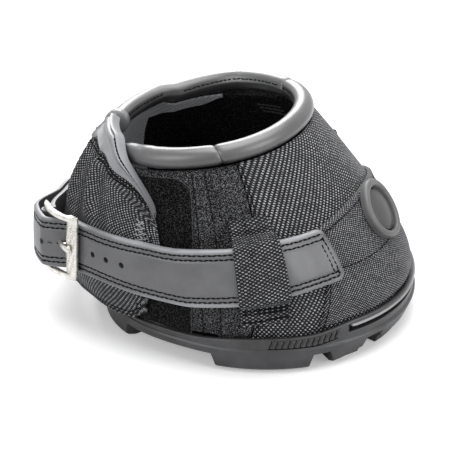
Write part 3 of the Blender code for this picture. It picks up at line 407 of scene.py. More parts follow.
class Cloth:
    """A piece of cloth, leather or padding, started from one bmesh grid and shaped on the form."""

    @staticmethod
    def lay(columns: Sequence[float], rows: Sequence[float], corner: Corner, closed: bool = False) -> Mesh:
        """Grid extruded once, with its corners moved to where the form puts them.

        Args:
            columns: Angle of each column.
            rows: Share of each row.
            corner: Gives the point of a column, a row and a layer, True for the outer one.
            closed: Whether the rows run round a tube, so that it has one layer.

        Returns:
            The mesh, with a UV map in metres along the cloth.
        """
        mesh = bmesh.new()
        wide, tall = len(columns) - 1, len(rows) - 1
        bmesh.ops.create_grid(mesh, x_segments=wide, y_segments=tall, size=0.5)
        sheet = set(mesh.verts)
        if not closed:
            bmesh.ops.extrude_face_region(mesh, geom=mesh.faces[:])
        cells = {v: (round((v.co.x + 0.5) * wide), round((v.co.y + 0.5) * tall)) for v in mesh.verts}
        places: dict[tuple[int, int], Vector] = {}
        for vertex, (column, row) in cells.items():
            vertex.co = corner(columns[column], rows[row], vertex not in sheet)
            if closed or vertex not in sheet:
                places[column, row] = vertex.co.copy()
        Cloth.map_lengths(mesh, cells, places, (wide, tall))
        if closed:
            bmesh.ops.remove_doubles(mesh, verts=mesh.verts[:], dist=1e-6)
            ends = [e for e in mesh.edges if e.is_boundary]
            bmesh.ops.holes_fill(mesh, edges=ends, sides=0)
        bmesh.ops.recalc_face_normals(mesh, faces=mesh.faces[:])
        return mesh

    @staticmethod
    def tube(columns: Sequence[float], sides: int, corner: Callable[[float, float], Vector]) -> Mesh:
        """Closed tube, its corner given by the column and the share of a turn round it."""
        return Cloth.lay(columns, steps(0.0, 1.0, sides), lambda at, turn, _: corner(at, turn), closed=True)

    @staticmethod
    def turned(columns: Sequence[float], count: int, corner: Callable[[float, int], Vector]) -> Mesh:
        """Closed skin, its corner given by the column and the number of the profile's point."""
        rows = [float(k) for k in range(count)]
        return Cloth.lay(columns, rows, lambda at, row, _: corner(at, int(row)), closed=True)

    @staticmethod
    def map_lengths(mesh: Mesh, cells: dict, places: dict, size: tuple[int, int]) -> None:
        """UV map that gives each point its distance along and up the cloth.

        Args:
            mesh: The cloth.
            cells: Column and row of each vertex.
            places: Point of each column and row.
            size: Number of columns and rows.
        """
        lengths = {key: [0.0, 0.0] for key in places}
        for axis, other in ((0, 1), (1, 0)):
            for line in range(size[other] + 1):
                for way in (1, -1):
                    run, cell = 0.0, [line, line]
                    cell[axis] = size[axis] // 2
                    while 0 <= cell[axis] + way <= size[axis]:
                        before = places[tuple(cell)]
                        cell[axis] += way
                        run += (places[tuple(cell)] - before).length
                        lengths[tuple(cell)][axis] = way * run
        layer = mesh.loops.layers.uv.new("cloth")
        for face in mesh.faces:
            for loop in face.loops:
                loop[layer].uv = lengths[cells[loop.vert]]

    @staticmethod
    def panel(columns: Sequence[float], rows: Sequence[float], low: Edge, high: Edge, inner: Face,
              outer: Face, lean: Face | None = None) -> Mesh:
        """Sheet on the form between two edges.

        Args:
            columns: Angle of each column.
            rows: Share of each row, from the lower edge to the upper one.
            low: Rise of the lower edge by angle.
            high: Rise of the upper edge by angle.
            inner: Offset of the inner face by angle and share.
            outer: Offset of the outer face by angle and share.
            lean: Angle of a column at a rise, where the columns aren't upright.

        Returns:
            The mesh.
        """

        def corner(degrees: float, share: float, is_outer: bool) -> Vector:
            """Point of the sheet."""
            rise = between(low(degrees), high(degrees), share)
            angle = lean(degrees, rise) if lean else degrees
            return FORM.place(angle, rise, (outer if is_outer else inner)(degrees, share))

        return Cloth.lay(columns, rows, corner)


@dataclass(frozen=True)
class Cut:
    """A cut of cloth: piece, finish, node, slot, flat size in metres, carriers and body."""

    piece: str
    finish: str
    node: str
    slot: str
    flat: Pair
    rests_on: tuple[str, ...] = ("sole_moulding",)
    body: str = "root"
    smooth: float = 40.0


class Workshop:
    """Turns meshes into named pieces that ride on the frame."""

    @staticmethod
    def add(name: str, mesh: Mesh) -> Piece:
        """Object in the scene that takes over a bmesh, which is freed."""
        data = bpy.data.meshes.new(name)
        mesh.to_mesh(data)
        mesh.free()
        piece = bpy.data.objects.new(name, data)
        bpy.context.scene.collection.objects.link(piece)
        return piece

    @staticmethod
    def join(mesh: Mesh, part: Mesh) -> None:
        """Add a closed part to a mesh, and free it."""
        data = bpy.data.meshes.new("part")
        part.to_mesh(data)
        part.free()
        mesh.from_mesh(data)
        bpy.data.meshes.remove(data)

    @staticmethod
    def finish(name: str, mesh: Mesh, finish: str, body: str = "root", replaces: Sequence[str] = (),
               slot: str = "", smooth: float = 40.0) -> Piece:
        """Object from a bmesh, dressed, riding on its body and standing for its nodes.

        Args:
            name: Name of the piece.
            mesh: Its bmesh, which is freed.
            finish: Its finish in the catalogue.
            body: Body that it rides on.
            replaces: Nodes of the frame that it stands for.
            slot: Material slot of the record; not used.
            smooth: Angle in degrees past which an edge stays sharp.

        Returns:
            The piece.
        """
        piece = Workshop.add(name, mesh)
        piece.data.shade_smooth()
        piece.data.set_sharp_from_angle(angle=math.radians(smooth))
        piece.data.materials.append(Finishes.get(finish))
        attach(piece, body)
        if replaces:
            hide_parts(*replaces)
        LOG.info("%s: %d faces on %s", name, len(piece.data.polygons), body)
        return piece

    @staticmethod
    def sheet(cut: Cut, mesh: Mesh) -> Piece:
        """Finished piece from a cut, standing for its node.

        Args:
            cut: What is said of the cloth.
            mesh: Its bmesh, which is freed.

        Returns:
            The piece.
        """
        nodes = (cut.node,) if cut.node else ()
        piece = Workshop.finish(cut.piece, mesh, cut.finish, cut.body, nodes, cut.slot, cut.smooth)
        list(cut.rests_on)
        return piece

    @staticmethod
    def bend(piece: Piece, first: str, second: str, start: Vector, end: Vector) -> None:
        """Take a piece off its body and bake its place into its mesh."""
        piece.parent = None
        del piece["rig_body"]
        tuple(start)
        tuple(end)
        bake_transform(piece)

    @staticmethod
    def bend_with_flap(piece: Piece) -> None:
        """Take a piece off its body, as bend does, with the points where the upper meets the flap."""
        Workshop.bend(piece, "root", "flap", *Flap.bend_points())

    @staticmethod
    def mark(piece: Piece, name: str, value: Callable[[Vector, Vector], float]) -> None:
        """Write a vertex attribute.

        Args:
            piece: The piece.
            name: Name of the attribute.
            value: Gives it from a vertex's place and its place on the cloth.
        """
        data = piece.data
        attribute = data.attributes.new(name, "FLOAT", "POINT")
        flat = [Vector((0.0, 0.0))] * len(data.vertices)
        if data.uv_layers:
            layer = data.uv_layers[0].data
            for loop in data.loops:
                flat[loop.vertex_index] = Vector(layer[loop.index].uv)
        attribute.data.foreach_set("value", [value(v.co, flat[v.index]) for v in data.vertices])


@dataclass(frozen=True)
class Stitches:
    """Rows of thread, each stitch a small closed grain that lies on the cloth."""

    pitch: float = 0.0025
    length: float = 0.0029
    width: float = 0.0009
    height: float = 0.0006
    slant: float = 0.17

    def sew(self, name: str, paths: Iterable[Sequence[Spot]], scale: float = 1.0, body: str = "root",
            thread: str = "thread") -> Piece:
        """Stitches evenly along paths.

        Args:
            name: Name of the piece.
            paths: Each a list of points with the outward normal there.
            scale: Size against the usual stitch.
            body: Body that the thread rides on.
            thread: Finish of the thread.

        Returns:
            The piece.
        """
        mesh = bmesh.new()
        size = Matrix.Diagonal((self.length * 0.5, self.width * 0.5 * scale, self.height * 0.5 * scale, 1.0))
        for path in paths:
            run, slant = 0.25 * self.pitch, self.slant
            for (first, normal), (second, _) in zip(path, path[1:]):
                span = (second - first).length
                while span > 0.0 and run < span:
                    along = (second - first).normalized()
                    up = (normal - along * normal.dot(along)).normalized()
                    along = (along + up.cross(along) * slant).normalized()
                    slant = -slant
                    turn = Matrix((along, up.cross(along), up)).transposed().to_4x4()
                    place = Matrix.Translation(first.lerp(second, run / span))
                    bmesh.ops.create_icosphere(mesh, subdivisions=1, radius=1.0, matrix=place @ turn @ size)
                    run += self.pitch
                run -= span
        return Workshop.finish(name, mesh, thread, body)


THREAD = Stitches()


class NodeCanvas:
    """Adds shader nodes to a tree by short calls."""

    def __init__(self, tree: bpy.types.NodeTree) -> None:
        """Keep the tree that the nodes go to."""
        self.tree = tree

    def put(self, socket: Socket, value: object) -> None:
        """Link a socket to an input, or set the input's value."""
        if isinstance(value, bpy.types.NodeSocket):
            self.tree.links.new(value, socket)
        else:
            socket.default_value = value

    def add(self, kind: str, inputs: dict | None = None, **settings: object) -> Node:
        """Node of a kind.

        Args:
            kind: Blender's name of the node.
            inputs: Values or sockets by input name or number.
            settings: Attributes of the node.

        Returns:
            The node.
        """
        node = self.tree.nodes.new(kind)
        for key, value in settings.items():
            setattr(node, key, value)
        for key, value in (inputs or {}).items():
            self.put(node.inputs[key], value)
        return node

    def math(self, operation: str, *values: float | Socket) -> Socket:
        """Result of a math node."""
        return self.add("ShaderNodeMath", dict(enumerate(values)), operation=operation).outputs[0]

    def times(self, first: float | Socket, second: float | Socket) -> Socket:
        """Product of two values."""
        return self.math("MULTIPLY", first, second)

    def scaled(self, value: Socket, scale: float | Socket, base: float | Socket) -> Socket:
        """Value times a scale, plus a base."""
        return self.math("MULTIPLY_ADD", value, scale, base)

    def rest(self, value: Socket) -> Socket:
        """What a value lacks to 1."""
        return self.math("SUBTRACT", 1.0, value)

    def wave(self, value: Socket) -> Socket:
        """Round hump from 0 to 1 over each whole unit of a value."""
        return self.math("ABSOLUTE", self.math("SINE", self.times(value, math.pi)))

    def ramp(self, value: Socket, low: float, high: float, start: float = 0.0, end: float = 1.0) -> Socket:
        """Value mapped from low..high to start..end, held at the ends."""
        inputs = {"Value": value, "From Min": low, "From Max": high, "To Min": start, "To Max": end}
        return self.add("ShaderNodeMapRange", inputs).outputs["Result"]

    def mix(self, share: Socket | float, first: object, second: object) -> Socket:
        """Colour at a share of the way from first to second."""
        return self.add("ShaderNodeMix", {0: share, 6: first, 7: second}, data_type="RGBA").outputs[2]

    def noise(self, vector: Socket, scale: float, detail: float = 2.0, roughness: float = 0.5) -> Socket:
        """Soft noise, from 0 to 1."""
        inputs = {"Vector": vector, "Scale": scale, "Detail": detail, "Roughness": roughness}
        return self.add("ShaderNodeTexNoise", inputs).outputs["Fac"]

    def attribute(self, name: str) -> Socket:
        """Value of one of the piece's own attributes, 0 where it has none."""
        return self.add("ShaderNodeAttribute", attribute_name=name).outputs["Fac"]

    def bump(self, height: Socket, depth: float, under: Socket | None = None) -> Socket:
        """Normal of a relief with a depth in metres, over another normal."""
        inputs = {"Height": height, "Distance": depth, "Strength": 1.0}
        if under is not None:
            inputs["Normal"] = under
        return self.add("ShaderNodeBump", inputs).outputs["Normal"]


class ShaderGroups:
    """Shader node groups that several finishes share, each built once."""

    wander_scale: float = 160.0
    wander: float = 0.8
    over_square: float = 0.5
    under_square: float = 0.6
    under_ridge: Pair = (0.6, 0.4)
    under_height: float = 0.8
    # share of painted light on the threads that lie over and under, and how it narrows to their crowns
    top_over: Pair = (0.9, 0.1)
    top_power: float = 1.9
    fine_scale: float = 2600.0
    fine_height: float = 0.35
    cell_height: float = 0.9
    tone_scale: float = 38.0
    crease_noise: dict[str, float] = {"Scale": 120.0, "Detail": 3.0, "Distortion": 1.5}

    @staticmethod
    def start(name: str, vector: str, values: dict[str, float]) -> tuple[NodeCanvas, dict[str, Socket]]:
        """Empty group with its inputs.

        Args:
            name: Name of the group.
            vector: Name of its vector input.
            values: Usual value by input name.

        Returns:
            The canvas and the input sockets by name.
        """
        tree = bpy.data.node_groups.new(name, "ShaderNodeTree")
        tree.interface.new_socket(name=vector, in_out="INPUT", socket_type="NodeSocketVector")
        for key, value in values.items():
            socket = tree.interface.new_socket(name=key, in_out="INPUT", socket_type="NodeSocketFloat")
            socket.default_value = value
        canvas = NodeCanvas(tree)
        entry = canvas.add("NodeGroupInput")
        return canvas, {key: entry.outputs[key] for key in (vector, *values)}

    @staticmethod
    def end(canvas: NodeCanvas, results: dict[str, Socket]) -> bpy.types.NodeTree:
        """Give a group its outputs, and return its tree."""
        for key in results:
            canvas.tree.interface.new_socket(name=key, in_out="OUTPUT", socket_type="NodeSocketFloat")
        canvas.add("NodeGroupOutput", results)
        return canvas.tree

    @classmethod
    @lru_cache(maxsize=None)
    def weave(cls) -> bpy.types.NodeTree:
        """Woven threads: height, painted light that is high on the crowns of the threads that lie over and
        low as painted shade in the gaps and on the threads below, and a share that changes from thread to
        thread.
        """
        canvas, entry = cls.start("woven_threads", "Cloth", {"Thread": 0.001, "Stretch": 1.0, "Repeat": 2.0})
        warp = canvas.noise(entry["Cloth"], cls.wander_scale, 1.0)
        bend = canvas.times(canvas.math("SUBTRACT", warp, 0.5), cls.wander)
        split = canvas.add("ShaderNodeSeparateXYZ", {0: entry["Cloth"]})
        tall = canvas.times(entry["Thread"], entry["Stretch"])
        across = canvas.math("ADD", canvas.math("DIVIDE", split.outputs[0], entry["Thread"]), bend)
        along = canvas.math("ADD", canvas.math("DIVIDE", split.outputs[1], tall), bend)
        column, row = canvas.math("FLOOR", across), canvas.math("FLOOR", along)
        order = canvas.math("FLOORED_MODULO", canvas.math("ADD", column, row), entry["Repeat"])
        over = canvas.math("LESS_THAN", order, canvas.times(entry["Repeat"], 0.5))
        round_across, round_along = canvas.wave(across), canvas.wave(along)
        upper = canvas.times(canvas.math("POWER", round_across, cls.over_square), round_along)
        ridge = canvas.scaled(round_across, *cls.under_ridge)
        lower = canvas.times(canvas.math("POWER", round_along, cls.under_square), ridge)
        lower = canvas.times(canvas.rest(over), canvas.times(lower, cls.under_height))
        height = canvas.math("ADD", canvas.times(over, upper), lower)
        # painted light: bright on the crowns of the threads that lie over, dark as painted shade in the gaps
        # and on the threads under them
        top = canvas.times(canvas.scaled(over, *cls.top_over), canvas.math("POWER", height, cls.top_power))
        cell = canvas.add("ShaderNodeCombineXYZ", {0: column, 1: row}).outputs[0]
        vary = canvas.add("ShaderNodeTexWhiteNoise", {"Vector": cell}, noise_dimensions="3D").outputs["Value"]
        return cls.end(canvas, {"Height": height, "Top": top, "Vary": vary})

    @classmethod
    @lru_cache(maxsize=None)
    def grain(cls) -> bpy.types.NodeTree:
        """Fine skin grain with slow change of tone, for leather and moulded rubber."""
        canvas, entry = cls.start("skin_grain", "Place", {"Size": 900.0})
        place = entry["Place"]
        inputs = {"Vector": place, "Scale": entry["Size"]}
        cells = canvas.add("ShaderNodeTexVoronoi", inputs, feature="SMOOTH_F1").outputs["Distance"]
        fine = canvas.noise(place, cls.fine_scale, 3.0)
        height = canvas.scaled(fine, cls.fine_height, canvas.times(cells, cls.cell_height))
        crease = canvas.add("ShaderNodeTexNoise", {"Vector": place, **cls.crease_noise},
                            noise_type="RIDGED_MULTIFRACTAL").outputs["Fac"]
        return cls.end(canvas, {"Height": height, "Tone": canvas.noise(place, cls.tone_scale, 4.0, 0.6),
                                "Crease": crease})


@dataclass(frozen=True)
class Finish:
    """What every finish has: its name, its dark and light tones, and its gloss."""

    name: str
    dark: float
    light: float
    roughness: float
    tint: tuple[float, float, float] = (1.0, 1.01, 1.06)

    def colour(self, value: float) -> tuple[float, float, float, float]:
        """Grey of a brightness, with the finish's slight tint."""
        return value * self.tint[0], value * self.tint[1], value * self.tint[2], 1.0

    def begin(self, **levels: float) -> tuple[bpy.types.Material, NodeCanvas, dict[str, Socket]]:
        """New material.

        Args:
            levels: Values that are the same all over, by the shader's input, words joined by _.

        Returns:
            The material, its canvas and its coordinates by name.
        """
        made = bpy.data.materials.new(self.name)
        made.use_nodes = True
        shader = made.node_tree.nodes["Principled BSDF"]
        for key, value in levels.items():
            shader.inputs[key.replace("_", " ")].default_value = value
        canvas = NodeCanvas(made.node_tree)
        places = canvas.add("ShaderNodeTexCoord").outputs
        return made, canvas, {"UV": places["UV"], "Object": places["Object"]}

    def tones(self, canvas: NodeCanvas, tone: Socket) -> Socket:
        """Colour at a share from the dark tone to the light one."""
        return canvas.mix(tone, self.colour(self.dark), self.colour(self.light))

    def gloss_range(self, canvas: NodeCanvas, tone: Socket, span: Pair,
                    change: Pair) -> Socket:
        """Roughness that changes by the given amounts over a span of the tone."""
        return canvas.ramp(tone, *span, self.roughness + change[0], self.roughness + change[1])

    @staticmethod
    def link(canvas: NodeCanvas, base: Socket, roughness: Socket, normal: Socket) -> None:
        """Feed the material's shader."""
        shader = canvas.tree.nodes["Principled BSDF"]
        for key, socket in (("Base Color", base), ("Roughness", roughness), ("Normal", normal)):
            canvas.put(shader.inputs[key], socket)

    @staticmethod
    def skin(canvas: NodeCanvas, place: Socket, size: float) -> dict[str, Socket]:
        """Outputs of the skin grain, at a grain size."""
        group = canvas.add("ShaderNodeGroup", node_tree=ShaderGroups.grain())
        canvas.put(group.inputs["Size"], size)
        canvas.put(group.inputs["Place"], place)
        return {key: group.outputs[key] for key in ("Height", "Tone", "Crease")}


@dataclass(frozen=True)
class WovenFinish(Finish):
    """Woven cloth: thread width, thread shape, over-and-under repeat and depth of the weave."""

    thread: float = 0.00085
    stretch: float = 1.0
    repeat: float = 2.0
    depth: float = 0.0004
    gloss: float = 0.14
    slow_scale: float = 55.0
    fuzz_scale: float = 4200.0
    # span of the painted light that becomes the tone: bright thread crowns, painted shade in the gaps
    lit_top: Pair = (0.03, 0.62)
    vary_tone: Pair = (0.7, 0.45)
    slow_tone: Pair = (0.8, 0.6)
    fuzz_tone: Pair = (0.6, 0.7)
    fuzz_height: float = 0.12
    gloss_change: float = 0.08

    def material(self) -> bpy.types.Material:
        """Material of the cloth, on its UV map in metres: painted light on the crowns of the threads and
        painted shade in the gaps, and darker with painted shade where the fold attribute says so.
        """
        made, canvas, places = self.begin(Specular_IOR_Level=self.gloss)
        group = canvas.add("ShaderNodeGroup", node_tree=ShaderGroups.weave())
        for key, value in (("Thread", self.thread), ("Stretch", self.stretch), ("Repeat", self.repeat),
                           ("Cloth", places["UV"])):
            canvas.put(group.inputs[key], value)
        fuzz = canvas.noise(places["Object"], self.fuzz_scale)
        vary = group.outputs["Vary"]
        tone = canvas.ramp(group.outputs["Top"], *self.lit_top)
        slow = canvas.noise(places["Object"], self.slow_scale, 3.0)
        for value, span in ((vary, self.vary_tone), (slow, self.slow_tone), (fuzz, self.fuzz_tone)):
            tone = canvas.times(tone, canvas.scaled(value, *span))
        # painted shade in the creases of the flap's pleats, from the fold attribute
        tone = canvas.times(tone, canvas.rest(canvas.attribute("fold")))
        rough = self.gloss_range(canvas, vary, (0.0, 1.0), (-self.gloss_change, self.gloss_change))
        height = canvas.scaled(fuzz, self.fuzz_height, group.outputs["Height"])
        self.link(canvas, self.tones(canvas, tone), rough, canvas.bump(height, self.depth))
        return made


@dataclass(frozen=True)
class PileFinish(Finish):
    """Brushed loop or hook pile."""

    fibre: float = 1500.0
    depth: float = 0.0005
    gloss: float = 0.08
    slow_scale: float = 90.0
    lit_tufts: Pair = (0.48, 0.68)
    slow_tone: Pair = (0.9, 0.5)
    dull: float = 0.98

    def material(self) -> bpy.types.Material:
        """Material of the pile, all in its place on the piece."""
        made, canvas, places = self.begin(Specular_IOR_Level=self.gloss)
        tufts = canvas.noise(places["Object"], self.fibre, 3.0, 0.6)
        slow = canvas.noise(places["Object"], self.slow_scale, 3.0)
        tone = canvas.times(canvas.ramp(tufts, *self.lit_tufts), canvas.scaled(slow, *self.slow_tone))
        rough = canvas.ramp(tufts, 0.0, 1.0, self.dull, self.roughness)
        self.link(canvas, self.tones(canvas, tone), rough, canvas.bump(tufts, self.depth))
        return made


@dataclass(frozen=True)
class LeatherFinish(Finish):
    """Leather: grain, slow change of tone, creases, and edges paler for wear and as a painted highlight."""

    grain: float = 900.0
    depth: float = 0.00006
    wear: float = 0.06
    coat: float = 0.0
    coat_roughness: float = 0.33
    creases: float = 0.15
    crease_depth: float = 3.0
    gloss: float = 0.5
    tone_span: Pair = (0.3, 0.72)
    crease_span: Pair = (0.5, 0.9)
    worn_span: Values = (0.25, 0.6, 0.35, 1.0)
    gloss_span: Pair = (0.2, 0.8)
    gloss_change: Pair = (-0.05, 0.09)

    def material(self) -> bpy.types.Material:
        """Material of the leather, whose edges read the piece's edge attribute."""
        made, canvas, places = self.begin(Specular_IOR_Level=self.gloss, Coat_Weight=self.coat,
                                          Coat_Roughness=self.coat_roughness)
        skin = self.skin(canvas, places["Object"], self.grain)
        tone = canvas.scaled(canvas.ramp(skin["Crease"], *self.crease_span), -self.creases,
                             canvas.ramp(skin["Tone"], *self.tone_span))
        # paler edges where the edge attribute says so: wear, and a painted highlight along them
        worn = canvas.times(canvas.attribute("edge"), canvas.ramp(skin["Tone"], *self.worn_span))
        base = canvas.mix(worn, self.tones(canvas, tone), self.colour(self.light + self.wear))
        rough = self.gloss_range(canvas, skin["Tone"], self.gloss_span, self.gloss_change)
        normal = canvas.bump(skin["Height"], self.depth)
        normal = canvas.bump(skin["Crease"], self.depth * self.crease_depth * self.creases, normal)
        self.link(canvas, base, rough, normal)
        return made


@dataclass(frozen=True)
class RubberFinish(Finish):
    """Moulded rubber: very fine spark texture and dust in the tone."""

    grain: float = 1600.0
    depth: float = 0.00003
    tone_span: Pair = (0.3, 0.75)
    gloss_span: Pair = (0.2, 0.8)
    gloss_change: Pair = (-0.07, 0.1)

    def material(self) -> bpy.types.Material:
        """Material of the rubber."""
        made, canvas, places = self.begin()
        skin = self.skin(canvas, places["Object"], self.grain)
        rough = self.gloss_range(canvas, skin["Tone"], self.gloss_span, self.gloss_change)
        base = self.tones(canvas, canvas.ramp(skin["Tone"], *self.tone_span))
        self.link(canvas, base, rough, canvas.bump(skin["Height"], self.depth))
        return made


@dataclass(frozen=True)
class MetalFinish(Finish):
    """Cast plated metal with a dotted texture where the dots attribute says so, its dots darkened with
    painted shade.
    """

    pitch: float = 0.0014
    randomness: float = 0.12
    dot_span: Pair = (0.28, 0.44)
    dot_dark: float = 0.95
    tone_scale: float = 260.0
    tone_span: Pair = (0.25, 0.8)
    scratch_scale: float = 1900.0
    scratch_height: float = 0.06
    gloss_change: Pair = (-0.06, 0.12)
    depth: float = 0.00025

    def material(self) -> bpy.types.Material:
        """Material of the metal."""
        made, canvas, places = self.begin(Metallic=1.0)
        tone = canvas.noise(places["Object"], self.tone_scale, 4.0, 0.6)
        scratch = canvas.noise(places["Object"], self.scratch_scale, 3.0)
        inputs = {"Vector": places["Object"], "Scale": 1.0 / self.pitch, "Randomness": self.randomness}
        dots = canvas.add("ShaderNodeTexVoronoi", inputs).outputs["Distance"]
        pit = canvas.times(canvas.rest(canvas.ramp(dots, *self.dot_span)), canvas.attribute("dots"))
        height = canvas.scaled(pit, -1.0, canvas.times(scratch, self.scratch_height))
        # painted shade darkens the pits of the dots
        shade = canvas.scaled(pit, -self.dot_dark, canvas.ramp(tone, *self.tone_span))
        rough = self.gloss_range(canvas, tone, self.tone_span, self.gloss_change)
        self.link(canvas, self.tones(canvas, shade), rough, canvas.bump(height, self.depth))
        return made


class Finishes:
    """All the finishes of the boot, each material made once."""

    plain: tuple[float, float, float] = (1.0, 1.0, 1.0)
    # in the woven finishes the dark tone is painted shade in the gaps of the weave and the light tone is
    # painted light on the crowns of the threads
    ballistic = WovenFinish("ballistic_weave", 0.002, 0.45, 0.45, thread=0.00112, stretch=1.08, depth=0.0003)
    fine = WovenFinish("fine_weave", 0.003, 0.42, 0.5, thread=0.0009, stretch=0.8, depth=0.0002)
    nylon = WovenFinish("flap_nylon", 0.003, 0.42, 0.5, thread=0.00098, depth=0.0002)
    # the lining is light grey, its tones raised almost to white as painted light against the shade it lies in
    twill = WovenFinish("lining_twill", 0.5, 1.0, 0.7, thread=0.0009, repeat=4.0, depth=0.00025)
    webbing = WovenFinish("webbing", 0.002, 0.42, 0.45, thread=0.0014, stretch=0.62, depth=0.0005)
    side = PileFinish("brushed_side", 0.002, 0.25, 0.75, fibre=1900.0)
    pile = PileFinish("closure_pile", 0.0, 0.05, 0.95)
    felt = PileFinish("insole_felt", 0.004, 0.03, 0.9, fibre=900.0)
    collar = LeatherFinish("collar_leather", 0.022, 0.05, 0.42, coat=0.8, gloss=0.9, depth=0.00003)
    binding = LeatherFinish("binding_leather", 0.13, 0.27, 0.34, coat=0.4, creases=0.3)
    belt = LeatherFinish("belt_leather", 0.085, 0.14, 0.36, wear=0.2, coat=0.05, depth=0.00004)
    sole = RubberFinish("sole_rubber", 0.008, 0.062, 0.33)
    trim = RubberFinish("toe_trim_rubber", 0.24, 0.34, 0.4, tint=(1.0, 1.0, 1.02))
    ring = RubberFinish("badge_rubber", 0.08, 0.14, 0.4, tint=plain)
    disc = RubberFinish("badge_disc_rubber", 0.04, 0.07, 0.4, tint=plain)
    metal = MetalFinish("buckle_nickel", 0.5, 0.95, 0.26, tint=(1.0, 0.97, 0.91))
    thread = LeatherFinish("black_thread", 0.001, 0.004, 0.6, depth=0.00002, gloss=0.1)
    edging = LeatherFinish("edging_thread", 0.035, 0.07, 0.6, depth=0.00002, gloss=0.2)
    pale_thread = LeatherFinish("grey_thread", 0.25, 0.4, 0.6, depth=0.00002, gloss=0.2)

    @staticmethod
    @lru_cache(maxsize=None)
    def get(name: str) -> bpy.types.Material:
        """Material of the finish with this attribute name."""
        return getattr(Finishes, name).material()


